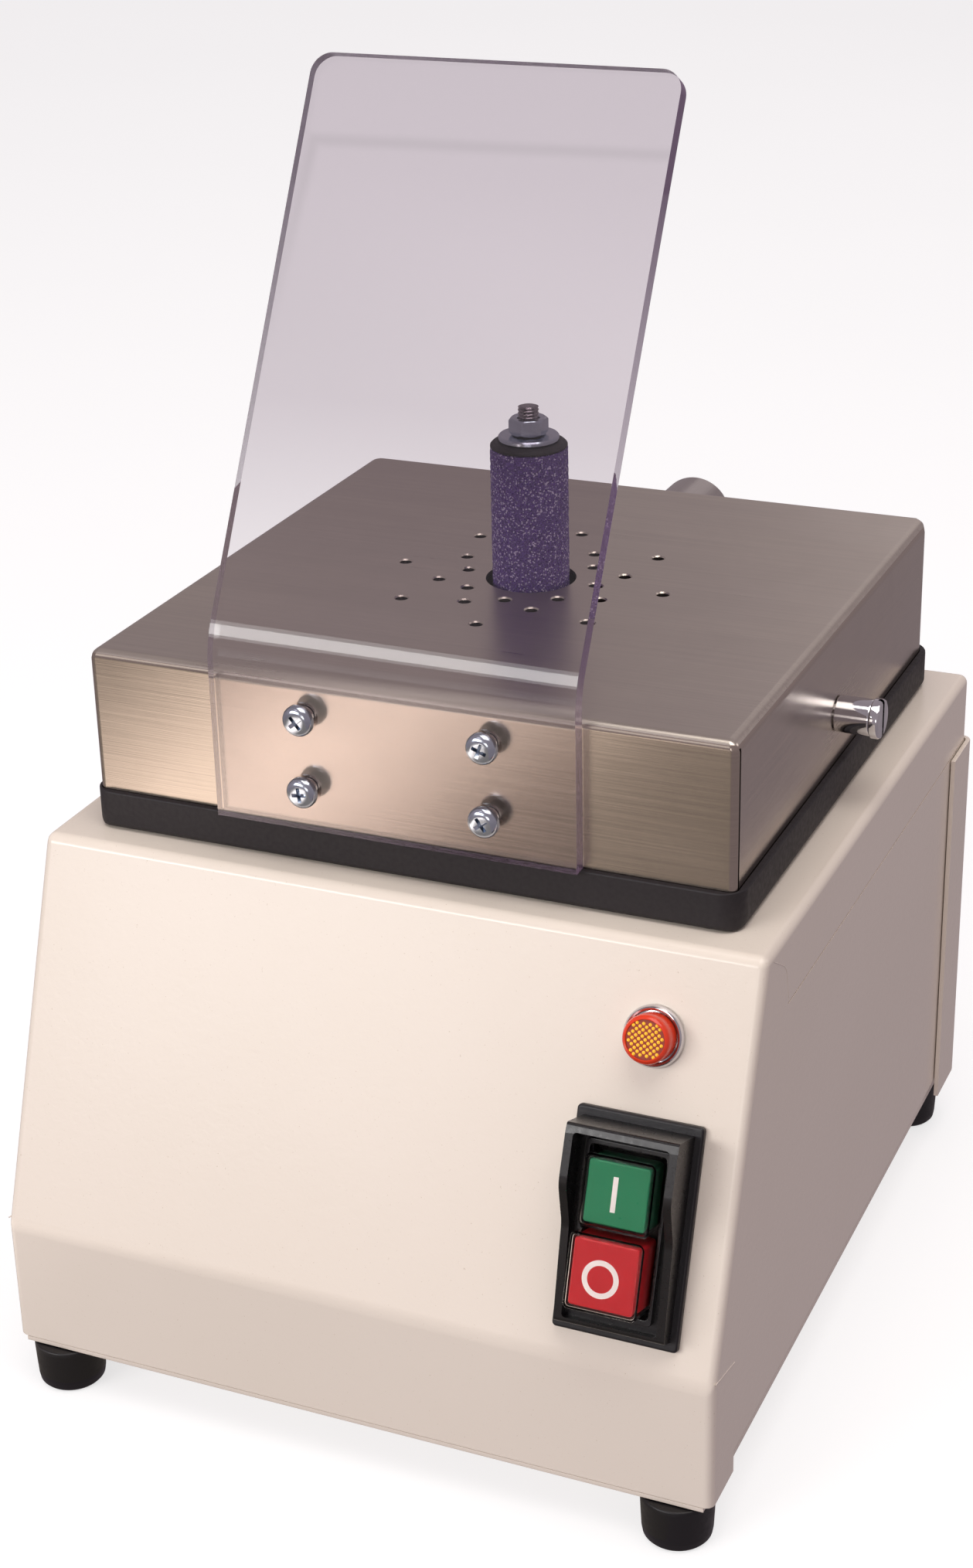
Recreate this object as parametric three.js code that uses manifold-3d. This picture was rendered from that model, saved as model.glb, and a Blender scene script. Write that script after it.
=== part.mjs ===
// Benchtop drum sander with a perforated suction table, a bent eye shield and a no-volt-release switch.
// Millimetres, +Z up. The group's origin is on the table top under the middle of the machine's footprint.
// The machine's own frame has X = 0 on the centre line, Y = 0 at the lower front face and Z = 0 on the table.
import * as THREE from "three";
import { mergeVertices } from "three/addons/utils/BufferGeometryUtils.js";
import Module from "manifold-3d";

const wasm = await Module();
wasm.setup();

// ---- driving dimensions ----
const GAP = 0.3; // clearance between pieces that touch
const REACH = 30; // how far a cutter runs past the wall that it cuts

const HOUSING_WIDTH = 215;
const HOUSING_DEPTH = 246;
const SHEET = 1.5; // housing sheet thickness
const EDGE_RADIUS = 2.5; // soft bends of the housing
const BOTTOM_Z = 16.3; // underside of the housing, set by the feet
const KNEE_Z = BOTTOM_Z + 38.3; // where the front starts to lean back
const TOP_Z = BOTTOM_Z + 145.8;
const SLOPE_SETBACK = 38.7; // how far the top front edge lies behind the lower front face
const SLOPE = Math.atan2(SLOPE_SETBACK, TOP_Z - KNEE_Z); // lean of the front, from vertical
const SEAM_Z = BOTTOM_Z + 124; // lap seam of the top's side flange
const SEAM_START_Y = 57;
const SEAM_WIDTH = 0.5;
const SIDE_SKIRT_Z = BOTTOM_Z + 7; // raised lower edge of the sides
const SIDE_RETURN = 17.5; // front strip of each side that reaches down to the base

const WRAP_SHEET = 1.5; // rear cover sheet thickness
const WRAP_DEPTH = 20; // how far the rear cover reaches round each side
const WRAP_X = HOUSING_WIDTH / 2 + GAP + WRAP_SHEET;
const WRAP_Y = HOUSING_DEPTH + GAP + WRAP_SHEET;

const FOOT_X = 95.2;
const FOOT_FRONT_Y = 7.5;
const FOOT_REAR_Y = 239;
const FOOT_RADIUS = 10.3;
const FOOT_TIP_RADIUS = 9.9;

const SPINDLE_Y = 144.2;
const TABLE_HALF_WIDTH = 94.9;
const TABLE_FRONT_Y = 49.8;
const TABLE_REAR_Y = 236.6;
const TABLE_TOP_Z = BOTTOM_Z + 199.8;
const TABLE_SKIRT_Z = TOP_Z + 3.2; // lower edge of the table's walls, inside the rubber trim
const TABLE_SHEET = 1.5;
const TABLE_HOLE_RADIUS = 13.3;
const SUCTION_HOLE_RADIUS = 1.9;
const SUCTION_RINGS = [
  { radius: 20, turn: 0 },
  { radius: 27, turn: 0.5 },
  { radius: 40.5, turn: 0 },
];
const HOLES_PER_RING = 8;

const TRIM_TOP_Z = BOTTOM_Z + 157.4;
const TRIM_WALL = 1.6;

const SHIELD_CENTRE_X = -0.7; // the sheet sits a little to the left
const SHIELD_HALF_WIDTH = 53.4;
const SHIELD_THICKNESS = 4.7;
const SHIELD_BOTTOM_Z = BOTTOM_Z + 157.7;
const SHIELD_BEND_Z = BOTTOM_Z + 208.6;
const SHIELD_BEND_RADIUS = 22;
const SHIELD_LEAN = THREE.MathUtils.degToRad(29.3);
const SHIELD_UPPER_LENGTH = 164.3; // from the bend's corner to the top edge
const SHIELD_CORNER_RADIUS = 6;
const SHIELD_SCREW_X = 26.8;
const SHIELD_SCREW_Z = [BOTTOM_Z + 190.5, BOTTOM_Z + 169.3];

const SLEEVE_RADIUS = 11.35;
const SLEEVE_TOP_Z = BOTTOM_Z + 239.8;
const SLEEVE_LENGTH = 50;
const CORE_RADIUS = 9.4;
const SHAFT_RADIUS = 4;
const STUD_RADIUS = 2.95; // M6 stud
const STUD_TOP_Z = BOTTOM_Z + 251.8;

const MOTOR_RADIUS = 48;
const MOTOR_TOP_Z = TOP_Z - SHEET - GAP;
const MOTOR_BOTTOM_Z = BOTTOM_Z + 42;
const BELL_HEIGHT = 18;
const MOTOR_SCREW_CIRCLE = 37;
const MOTOR_SCREW_RADIUS = 2.3;

const SWITCH_X = 79.3;
const SWITCH_BOTTOM = 8.3; // up the slope from the knee
const SWITCH_LENGTH = 60.3;
const SWITCH_WIDTH = 35.2;
const BUTTON_GAP = 0.4;
const LAMP_X = 79.8;
const LAMP_RISE = 89.6; // up the slope from the knee

const LATCH_Y = 139.7;
const LATCH_Z = BOTTOM_Z + 172.4;
const LATCH_BARREL_RADIUS = 5.3;
const LATCH_HEAD_X = 108.2; // outer face of the turning head

const PORT_X = 4;
const PORT_Z = BOTTOM_Z + 178.2;
const PORT_RADIUS = 12;
const PORT_END_Y = 278;

const INLET_X = -62;
const INLET_Z = BOTTOM_Z + 42;

// ---- geometry helpers ----
function solid(geometry) {
  const bare = geometry.clone();
  bare.deleteAttribute("normal");
  bare.deleteAttribute("uv");
  const merged = mergeVertices(bare, 1e-4);
  return new wasm.Manifold(
    new wasm.Mesh({
      numProp: 3,
      vertProperties: merged.attributes.position.array,
      triVerts: new Uint32Array(merged.index.array),
    }),
  );
}

function geometryOf(manifold) {
  const mesh = manifold.getMesh();
  const geometry = new THREE.BufferGeometry();
  geometry.setAttribute("position", new THREE.BufferAttribute(mesh.vertProperties, 3));
  geometry.setIndex(new THREE.BufferAttribute(mesh.triVerts, 1));
  const flat = geometry.toNonIndexed();
  flat.computeVertexNormals();
  return flat;
}

function cut(base, ...tools) {
  return geometryOf(tools.reduce((rest, tool) => rest.subtract(solid(tool)), solid(base)));
}

function join(base, ...others) {
  return geometryOf(others.reduce((sum, other) => sum.add(solid(other)), solid(base)));
}

// An outline through [x, y, radius] corners, each rounded by its radius (0 or absent leaves it sharp).
function outline(corners) {
  const shape = new THREE.Shape();
  corners.forEach(([x, y, radius = 0], i) => {
    const corner = new THREE.Vector2(x, y);
    const [px, py] = corners.at(i - 1);
    const [nx, ny] = corners[(i + 1) % corners.length];
    const before = new THREE.Vector2(px, py).sub(corner).normalize();
    const after = new THREE.Vector2(nx, ny).sub(corner).normalize();
    const half = Math.acos(THREE.MathUtils.clamp(before.dot(after), -1, 1)) / 2;
    const start = corner.clone().addScaledVector(before, radius / Math.tan(half));
    if (i === 0) shape.moveTo(start.x, start.y);
    else shape.lineTo(start.x, start.y);
    if (radius > 0) {
      const centre = corner.clone().addScaledVector(before.clone().add(after).normalize(),
        radius / Math.sin(half));
      const end = corner.clone().addScaledVector(after, radius / Math.tan(half));
      const from = start.sub(centre).angle();
      const to = end.sub(centre).angle();
      shape.absarc(centre.x, centre.y, radius, from, to, before.cross(after) > 0);
    }
  });
  shape.closePath();
  return shape;
}

function rectangle(x0, y0, x1, y1, radius = 0) {
  return outline([
    [x0, y0, radius],
    [x1, y0, radius],
    [x1, y1, radius],
    [x0, y1, radius],
  ]);
}

// A prism along +Z from z0 to z1, its end edges rounded by bevel.
function prism(shape, z0, z1, { bevel = 0, curveSegments = 5, bevelSegments = 2 } = {}) {
  const geometry = new THREE.ExtrudeGeometry(shape, {
    depth: z1 - z0 - 2 * bevel,
    bevelEnabled: bevel > 0,
    bevelThickness: bevel,
    bevelSize: bevel,
    bevelOffset: -bevel,
    bevelSegments,
    curveSegments,
  });
  return geometry.translate(0, 0, z0 + bevel);
}

// The same along +X, for a side view drawn as (y, z).
const SIDE_VIEW = new THREE.Matrix4().makeBasis(
  new THREE.Vector3(0, 1, 0),
  new THREE.Vector3(0, 0, 1),
  new THREE.Vector3(1, 0, 0),
);
function sidePrism(shape, x0, x1, options) {
  return prism(shape, x0, x1, options).applyMatrix4(SIDE_VIEW);
}

// The same along +Y, for a rear view drawn as (x, z).
function rearPrism(shape, y0, y1, options) {
  return prism(shape, -y1, -y0, options).rotateX(Math.PI / 2);
}

function block(x0, x1, y0, y1, z0, z1) {
  const box = new THREE.BoxGeometry(x1 - x0, y1 - y0, z1 - z0);
  return box.translate((x0 + x1) / 2, (y0 + y1) / 2, (z0 + z1) / 2);
}

// A turned solid about Z from [radius, z] points, listed from the bottom of its outside to the top.
function turned(points, segments = 24) {
  const profile = points.map(([radius, z]) => new THREE.Vector2(radius, z));
  return new THREE.LatheGeometry(profile, segments).rotateX(Math.PI / 2);
}

function rod(radius, z0, z1, segments = 20) {
  return turned([[0, z0], [radius, z0], [radius, z1], [0, z1]], segments);
}

function ring(inner, outer, z0, z1, segments = 24) {
  return turned([[inner, z0], [outer, z0], [outer, z1], [inner, z1], [inner, z0]], segments);
}

// The same pieces laid along +X or +Y.
const alongX = (geometry) => geometry.rotateY(Math.PI / 2);
const alongY = (geometry) => geometry.rotateX(-Math.PI / 2);

function hexPrism(acrossFlats, bore, z0, z1) {
  const corner = acrossFlats / Math.sqrt(3);
  const blank = new THREE.CylinderGeometry(corner, corner, z1 - z0, 6);
  blank.rotateX(Math.PI / 2).translate(0, 0, (z0 + z1) / 2);
  return cut(blank, rod(bore, z0 - 1, z1 + 1));
}

// ---- materials ----
const paint = { color: 0xe9ddcd, roughness: 0.55, metalness: 0 };
const stainless = { color: 0x9d948f, roughness: 0.35, metalness: 1 };
const zinc = { color: 0xb9bfca, roughness: 0.25, metalness: 1 };
const chrome = { color: 0xd9d9dd, roughness: 0.12, metalness: 1 };
const steel = { color: 0x8a8b90, roughness: 0.4, metalness: 1 };
const rubber = { color: 0x232126, roughness: 0.75, metalness: 0 };
const blackPlastic = { color: 0x201d23, roughness: 0.4, metalness: 0 };
const clear = { color: 0xd2c8d4, roughness: 0.05, metalness: 0, transparent: true, opacity: 0.35 };
const abrasive = { color: 0x54406e, roughness: 0.9, metalness: 0 };
const green = { color: 0x2a8a5d, roughness: 0.35, metalness: 0 };
const red = { color: 0xd6343c, roughness: 0.35, metalness: 0 };
const orange = { color: 0xe2461c, roughness: 0.2, metalness: 0 };
const castAluminium = { color: 0x9a9c9e, roughness: 0.55, metalness: 1 };
const lamination = { color: 0x5b5d63, roughness: 0.5, metalness: 0.8 };
const whitePlastic = { color: 0xd8d8d4, roughness: 0.4, metalness: 0 };

const machine = new THREE.Group();

function part(name, geometry, finish, parent = machine) {
  const mesh = new THREE.Mesh(geometry, new THREE.MeshStandardMaterial(finish));
  mesh.name = name;
  parent.add(mesh);
  return mesh;
}

// The slope's own frame: X across, Y up the slope from the knee, Z out of the front.
const slope = new THREE.Group();
slope.position.set(0, 0, KNEE_Z);
slope.rotation.x = Math.PI / 2 - SLOPE;
slope.updateMatrix();
machine.add(slope);
const onSlope = (geometry) => geometry.applyMatrix4(slope.matrix);

// ---- housing ----
const SWITCH_CUTOUT = [28.6, 46.6]; // width, length
const LAMP_HOLE_RADIUS = 6.3;
const SHAFT_HOLE_RADIUS = 16;

const switchMiddle = SWITCH_BOTTOM + SWITCH_LENGTH / 2;
const motorScrewPlaces = [0, 1, 2, 3].map((i) => {
  const angle = Math.PI / 4 + (i * Math.PI) / 2;
  return [MOTOR_SCREW_CIRCLE * Math.cos(angle), SPINDLE_Y + MOTOR_SCREW_CIRCLE * Math.sin(angle)];
});

// Side view of the housing, moved inwards by inset and left open below.
function housingSide(inset, radius) {
  const innerTop = TOP_Z - inset;
  const rise = innerTop - KNEE_Z;
  const topFrontY = (inset + Math.sin(SLOPE) * rise) / Math.cos(SLOPE);
  const kneeZ = KNEE_Z - inset * Math.tan(SLOPE / 2);
  return outline([
    [inset, BOTTOM_Z - REACH],
    [HOUSING_DEPTH - inset, BOTTOM_Z - REACH],
    [HOUSING_DEPTH - inset, innerTop, radius],
    [topFrontY, innerTop, radius],
    [inset, kneeZ, 3 * radius],
  ]);
}

function housingShell() {
  const half = HOUSING_WIDTH / 2;
  const outer = sidePrism(housingSide(0, EDGE_RADIUS), -half, half, { bevel: 0.8 * EDGE_RADIUS });
  const inner = sidePrism(housingSide(SHEET, EDGE_RADIUS - SHEET), SHEET - half, half - SHEET, {
    bevel: 0.8 * (EDGE_RADIUS - SHEET),
    bevelSegments: 1,
  });
  const below = block(-half - 1, half + 1, -REACH, HOUSING_DEPTH + REACH, BOTTOM_Z - 2 * REACH, BOTTOM_Z);
  const rearOpening = block(
    SHEET - half, half - SHEET, HOUSING_DEPTH - REACH, HOUSING_DEPTH + REACH, BOTTOM_Z - 1, SEAM_Z,
  );
  const skirts = block(
    -half - 1, half + 1, SIDE_RETURN, HOUSING_DEPTH + REACH, BOTTOM_Z - 1, SIDE_SKIRT_Z,
  );
  const seams = [-1, 1].map((side) => {
    const middle = side * half;
    return block(middle - REACH / 8, middle + REACH / 8, SEAM_START_Y, HOUSING_DEPTH + 1,
      SEAM_Z - SEAM_WIDTH, SEAM_Z);
  });
  const [cutoutWidth, cutoutLength] = SWITCH_CUTOUT;
  const switchHole = onSlope(block(
    SWITCH_X - cutoutWidth / 2, SWITCH_X + cutoutWidth / 2,
    switchMiddle - cutoutLength / 2, switchMiddle + cutoutLength / 2, -5, 5,
  ));
  const lampHole = onSlope(rod(LAMP_HOLE_RADIUS, -5, 5).translate(LAMP_X, LAMP_RISE, 0));
  const shaftHole = rod(SHAFT_HOLE_RADIUS, TOP_Z - 5, TOP_Z + 5, 32).translate(0, SPINDLE_Y, 0);
  const screwHoles = motorScrewPlaces.map(([x, y]) =>
    rod(MOTOR_SCREW_RADIUS + GAP, TOP_Z - 5, TOP_Z + 5, 12).translate(x, y, 0));
  const rearHoles = rearScrewPlaces.slice(2).map(([x, z]) =>
    alongY(rod(REAR_SCREW_RADIUS + GAP, -5, 5, 12)).translate(x, HOUSING_DEPTH, z));
  return cut(outer, inner, below, rearOpening, skirts, ...seams, switchHole, lampHole, shaftHole,
    ...screwHoles, ...rearHoles);
}

const REAR_SCREW_RADIUS = 1.9;
const REAR_SCREW_X = 95;
const REAR_COVER_TOP_Z = BOTTOM_Z + 140;
const rearScrewPlaces = [
  [-REAR_SCREW_X, BOTTOM_Z + 6],
  [REAR_SCREW_X, BOTTOM_Z + 6],
  [-REAR_SCREW_X, BOTTOM_Z + 132],
  [REAR_SCREW_X, BOTTOM_Z + 132],
];

// Base plate with a front lip under the front panel and upstands along the sides and the rear.
const BASE_HALF_WIDTH = 105;
const BASE_TOP_Z = BOTTOM_Z - GAP;
const BASE_FRONT_Y = 0.1;
const BASE_REAR_Y = HOUSING_DEPTH - 2;
const UPSTAND = 12;
function basePlate() {
  const plate = block(-BASE_HALF_WIDTH, BASE_HALF_WIDTH, BASE_FRONT_Y, BASE_REAR_Y, BASE_TOP_Z - SHEET,
    BASE_TOP_Z);
  const sides = [-1, 1].map((side) => {
    const edges = [side * BASE_HALF_WIDTH, side * (BASE_HALF_WIDTH - SHEET)].sort((a, b) => a - b);
    return block(...edges, SIDE_RETURN + 2, BASE_REAR_Y, BASE_TOP_Z - SHEET, BASE_TOP_Z + UPSTAND);
  });
  const rear = block(-BASE_HALF_WIDTH, BASE_HALF_WIDTH, BASE_REAR_Y - SHEET, BASE_REAR_Y,
    BASE_TOP_Z - SHEET, BASE_TOP_Z + UPSTAND);
  const footHoles = feet.map(([, x, y]) =>
    rod(FOOT_SCREW_RADIUS + GAP, BOTTOM_Z - 5, BOTTOM_Z + 5, 12).translate(x, y, 0));
  const rearHoles = rearScrewPlaces.slice(0, 2).map(([x, z]) =>
    alongY(rod(REAR_SCREW_RADIUS + GAP, -5, 5, 12)).translate(x, BASE_REAR_Y, z));
  const vents = ventRow(-60, 60, 9, (x) =>
    block(x - 2, x + 2, 100, 190, BASE_TOP_Z - 5, BASE_TOP_Z + 5));
  return cut(join(plate, ...sides, rear), ...footHoles, ...rearHoles, ...vents);
}

function ventRow(from, to, count, slot) {
  return Array.from({ length: count }, (_, i) => slot(from + ((to - from) * i) / (count - 1)));
}

// Rear cover: a sheet bent round both rear corners, with the inlet's cut-out and ventilation slots.
const INLET_CUTOUT = [27.6, 20.6]; // width, height
function rearCover() {
  const half = WRAP_X;
  const inner = half - WRAP_SHEET;
  const frontY = HOUSING_DEPTH - WRAP_DEPTH;
  const faceY = WRAP_Y - WRAP_SHEET;
  const plan = outline([
    [-half, frontY],
    [-inner, frontY],
    [-inner, faceY, EDGE_RADIUS],
    [inner, faceY, EDGE_RADIUS],
    [inner, frontY],
    [half, frontY],
    [half, WRAP_Y, EDGE_RADIUS + WRAP_SHEET],
    [-half, WRAP_Y, EDGE_RADIUS + WRAP_SHEET],
  ]);
  const sheet = prism(plan, BOTTOM_Z + 1, REAR_COVER_TOP_Z, { curveSegments: 4 });
  const notches = [-1, 1].map((side) => {
    const middle = side * half;
    return block(middle - 7, middle + 7, frontY - 1, WRAP_Y + 1, SEAM_Z - SEAM_WIDTH, TOP_Z);
  });
  const [width, height] = INLET_CUTOUT;
  const inletHole = block(INLET_X - width / 2, INLET_X + width / 2, faceY - 5, WRAP_Y + 5,
    INLET_Z - height / 2, INLET_Z + height / 2);
  const screwHoles = rearScrewPlaces.map(([x, z]) =>
    alongY(rod(REAR_SCREW_RADIUS + GAP, -5, 5, 12)).translate(x, faceY, z));
  const slots = ventRow(-20, 76, 13, (x) =>
    block(x - 1.5, x + 1.5, faceY - 5, WRAP_Y + 5, BOTTOM_Z + 34, BOTTOM_Z + 92));
  return cut(sheet, ...notches, inletHole, ...screwHoles, ...slots);
}

// Pan-head screw along +Z: head above z = 0, shank below it, cross recess in the head.
function panScrew(headRadius, headHeight, shankRadius, length, segments = 12) {
  const head = turned([
    [0, 0],
    [headRadius, 0],
    [headRadius, 0.35 * headHeight],
    [0.86 * headRadius, 0.78 * headHeight],
    [0.55 * headRadius, headHeight],
    [0, headHeight],
  ], segments);
  const shank = rod(shankRadius, -length, 0.2, 8);
  const arm = 0.5 * headRadius;
  const width = 0.1 * headRadius;
  const recess = [
    block(-arm, arm, -width, width, 0.45 * headHeight, headHeight + 1),
    block(-width, width, -arm, arm, 0.45 * headHeight, headHeight + 1),
  ];
  return cut(join(head, shank), ...recess);
}

function addRearScrews() {
  rearScrewPlaces.forEach(([x, z], i) => {
    const screw = part(`rear_screw_${i + 1}`, panScrew(3.6, 2.4, REAR_SCREW_RADIUS, 9), zinc);
    screw.rotation.x = -Math.PI / 2;
    screw.position.set(x, WRAP_Y + GAP, z);
  });
}

// Rubber feet, each held by a screw whose head sits in a recess of the foot's underside.
const FOOT_SCREW_RADIUS = 2;
const FOOT_RECESS_RADIUS = 5;
const FOOT_RECESS_Z = 7;
const feet = [
  ["front_left", -FOOT_X, FOOT_FRONT_Y],
  ["front_right", FOOT_X, FOOT_FRONT_Y],
  ["rear_left", -FOOT_X, FOOT_REAR_Y],
  ["rear_right", FOOT_X, FOOT_REAR_Y],
];

function footGeometry() {
  const topZ = BASE_TOP_Z - SHEET - GAP;
  return turned([
    [FOOT_RECESS_RADIUS, 0],
    [FOOT_TIP_RADIUS - 2.6, 0],
    [FOOT_TIP_RADIUS - 1, 0.7],
    [FOOT_TIP_RADIUS, 2.4],
    [FOOT_RADIUS, topZ],
    [FOOT_SCREW_RADIUS + GAP, topZ],
    [FOOT_SCREW_RADIUS + GAP, FOOT_RECESS_Z],
    [FOOT_RECESS_RADIUS, FOOT_RECESS_Z],
    [FOOT_RECESS_RADIUS, 0],
  ], 24);
}

function addFeet() {
  feet.forEach(([place, x, y]) => {
    part(`foot_${place}`, footGeometry(), rubber).position.set(x, y, 0);
    const screw = part(`foot_screw_${place}`, panScrew(3.6, 2.6, FOOT_SCREW_RADIUS, 12), zinc);
    screw.rotation.x = Math.PI;
    screw.position.set(x, y, FOOT_RECESS_Z - GAP);
  });
}

// ---- suction table ----
const TABLE_REAR_RADIUS = 7;
const TABLE_FRONT_RADIUS = 2.2;
const TABLE_EDGE_RADIUS = 2;

// Plan of the table, grown outwards by grow.
function tablePlan(grow) {
  const half = TABLE_HALF_WIDTH + grow;
  const front = TABLE_FRONT_Y - grow;
  const rear = TABLE_REAR_Y + grow;
  const frontRadius = Math.max(TABLE_FRONT_RADIUS + grow, 0.4);
  return outline([
    [-half, front, frontRadius],
    [half, front, frontRadius],
    [half, rear, TABLE_REAR_RADIUS + grow],
    [-half, rear, TABLE_REAR_RADIUS + grow],
  ]);
}

function suctionHoles() {
  return SUCTION_RINGS.flatMap(({ radius, turn }) =>
    Array.from({ length: HOLES_PER_RING }, (_, i) => {
      const angle = ((i + turn) * 2 * Math.PI) / HOLES_PER_RING;
      const hole = rod(SUCTION_HOLE_RADIUS, TABLE_TOP_Z - 5, TABLE_TOP_Z + 5, 8);
      return hole.translate(radius * Math.cos(angle), SPINDLE_Y + radius * Math.sin(angle), 0);
    }));
}

const PORT_FLANGE_RADIUS = 17;
const CORNER_SLIT = 0.9; // open corner where the front flange meets each side
function suctionTable() {
  const outer = prism(tablePlan(0), TABLE_SKIRT_Z - REACH, TABLE_TOP_Z, { bevel: TABLE_EDGE_RADIUS });
  const inner = prism(tablePlan(-TABLE_SHEET), TABLE_SKIRT_Z - 2 * REACH, TABLE_TOP_Z - TABLE_SHEET, {
    bevel: TABLE_EDGE_RADIUS - TABLE_SHEET,
    bevelSegments: 1,
  });
  const below = block(-REACH * 4, REACH * 4, 0, HOUSING_DEPTH + REACH, 0, TABLE_SKIRT_Z);
  const centreHole = rod(TABLE_HOLE_RADIUS, TABLE_TOP_Z - 5, TABLE_TOP_Z + 5, 48).translate(0, SPINDLE_Y, 0);
  const slits = [-1, 1].map((side) => {
    const middle = side * TABLE_HALF_WIDTH;
    const start = TABLE_FRONT_Y + TABLE_SHEET;
    return block(middle - 3, middle + 3, start, start + CORNER_SLIT, 0, TABLE_TOP_Z - TABLE_EDGE_RADIUS);
  });
  const screwHoles = shieldScrewPlaces.map(([x, z]) =>
    alongY(rod(SHIELD_SCREW_SHANK + GAP, -5, 5, 16)).translate(x, TABLE_FRONT_Y, z));
  const latchHole = alongX(rod(LATCH_NECK_RADIUS + GAP, -5, 5, 20))
    .translate(TABLE_HALF_WIDTH, LATCH_Y, LATCH_Z);
  const portHole = alongY(rod(PORT_RADIUS + GAP, -5, 5, 32)).translate(PORT_X, TABLE_REAR_Y, PORT_Z);
  return cut(outer, inner, below, centreHole, ...slits, ...suctionHoles(), ...screwHoles, latchHole,
    portHole);
}

// Rubber edge trim: a ring with a groove that holds the lower edge of the table's walls.
function coverTrim() {
  const bottom = TOP_Z + GAP;
  const outer = prism(tablePlan(GAP + TRIM_WALL), bottom, TRIM_TOP_Z, { bevel: 1.2, bevelSegments: 1 });
  const middle = prism(tablePlan(-TABLE_SHEET - GAP - TRIM_WALL), bottom - 5, TRIM_TOP_Z + 5);
  const grooveOuter = prism(tablePlan(GAP), TABLE_SKIRT_Z - GAP, TRIM_TOP_Z + 5);
  const grooveInner = prism(tablePlan(-TABLE_SHEET - GAP), bottom - 5, TRIM_TOP_Z + 10);
  return cut(outer, middle, cut(grooveOuter, grooveInner));
}

// Dust tray fixed on the housing top; its upstand locates the table and the latch bears on it.
const TRAY_INSET = 6.5;
const TRAY_TOP_Z = BOTTOM_Z + 165;
function dustTray() {
  const floorZ = TOP_Z + GAP;
  const outer = prism(tablePlan(-TRAY_INSET), floorZ, TRAY_TOP_Z);
  const hollow = prism(tablePlan(-TRAY_INSET - SHEET), floorZ + SHEET, TRAY_TOP_Z + 5);
  const shaftHole = rod(SHAFT_HOLE_RADIUS - 2, floorZ - 5, floorZ + 5, 32).translate(0, SPINDLE_Y, 0);
  const screwHoles = motorScrewPlaces.map(([x, y]) =>
    rod(MOTOR_SCREW_RADIUS + GAP, floorZ - 5, floorZ + 5, 12).translate(x, y, 0));
  return cut(outer, hollow, shaftHole, ...screwHoles);
}

// Exhaust spigot: a flanged tube through the table's rear wall, flange inside.
function exhaustPort() {
  const wall = 1.2;
  const insideY = TABLE_REAR_Y - TABLE_SHEET - GAP;
  return alongY(turned([
    [PORT_RADIUS - wall, 0],
    [PORT_FLANGE_RADIUS, 0],
    [PORT_FLANGE_RADIUS, 1.5],
    [PORT_RADIUS, 1.5],
    [PORT_RADIUS, PORT_END_Y - insideY + 1.5],
    [PORT_RADIUS - wall, PORT_END_Y - insideY + 1.5],
    [PORT_RADIUS - wall, 0],
  ], 40)).translate(PORT_X, insideY - 1.5, PORT_Z);
}

// ---- shield ----
const SHIELD_SCREW_SHANK = 2.4;
const SHIELD_BACK_Y = TABLE_FRONT_Y - GAP;
const shieldScrewPlaces = SHIELD_SCREW_Z.flatMap((z) => [-1, 1].map((side) => [side * SHIELD_SCREW_X, z]));

// Side view of the bent sheet: straight up, an arc back, then straight to the top edge.
function shieldSide() {
  const innerRadius = SHIELD_BEND_RADIUS;
  const outerRadius = innerRadius + SHIELD_THICKNESS;
  const frontY = SHIELD_BACK_Y - SHIELD_THICKNESS;
  const tangent = outerRadius * Math.tan(SHIELD_LEAN / 2);
  const centreY = frontY + outerRadius;
  const centreZ = SHIELD_BEND_Z - tangent;
  const lean = new THREE.Vector2(Math.sin(SHIELD_LEAN), Math.cos(SHIELD_LEAN));
  const onBend = (radius) => new THREE.Vector2(
    centreY - radius * Math.cos(SHIELD_LEAN), centreZ + radius * Math.sin(SHIELD_LEAN));
  const length = SHIELD_UPPER_LENGTH - tangent;
  const topFront = onBend(outerRadius).addScaledVector(lean, length);
  const topBack = onBend(innerRadius).addScaledVector(lean, length);
  const shape = new THREE.Shape();
  shape.moveTo(SHIELD_BACK_Y, SHIELD_BOTTOM_Z);
  shape.lineTo(SHIELD_BACK_Y, centreZ);
  shape.absarc(centreY, centreZ, innerRadius, Math.PI, Math.PI - SHIELD_LEAN, true);
  shape.lineTo(topBack.x, topBack.y);
  shape.lineTo(topFront.x, topFront.y);
  const start = onBend(outerRadius);
  shape.lineTo(start.x, start.y);
  shape.absarc(centreY, centreZ, outerRadius, Math.PI - SHIELD_LEAN, Math.PI, false);
  shape.lineTo(frontY, SHIELD_BOTTOM_Z);
  shape.closePath();
  return shape;
}

function clearShield() {
  const left = SHIELD_CENTRE_X - SHIELD_HALF_WIDTH;
  const right = SHIELD_CENTRE_X + SHIELD_HALF_WIDTH;
  const sheet = sidePrism(shieldSide(), left, right, { curveSegments: 8 });
  const screwHoles = shieldScrewPlaces.map(([x, z]) =>
    alongY(rod(SHIELD_SCREW_SHANK + GAP, -10, 10, 16)).translate(x, SHIELD_BACK_Y, z));
  return cut(sheet, ...screwHoles, ...shieldCornerCutters());
}

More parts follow.
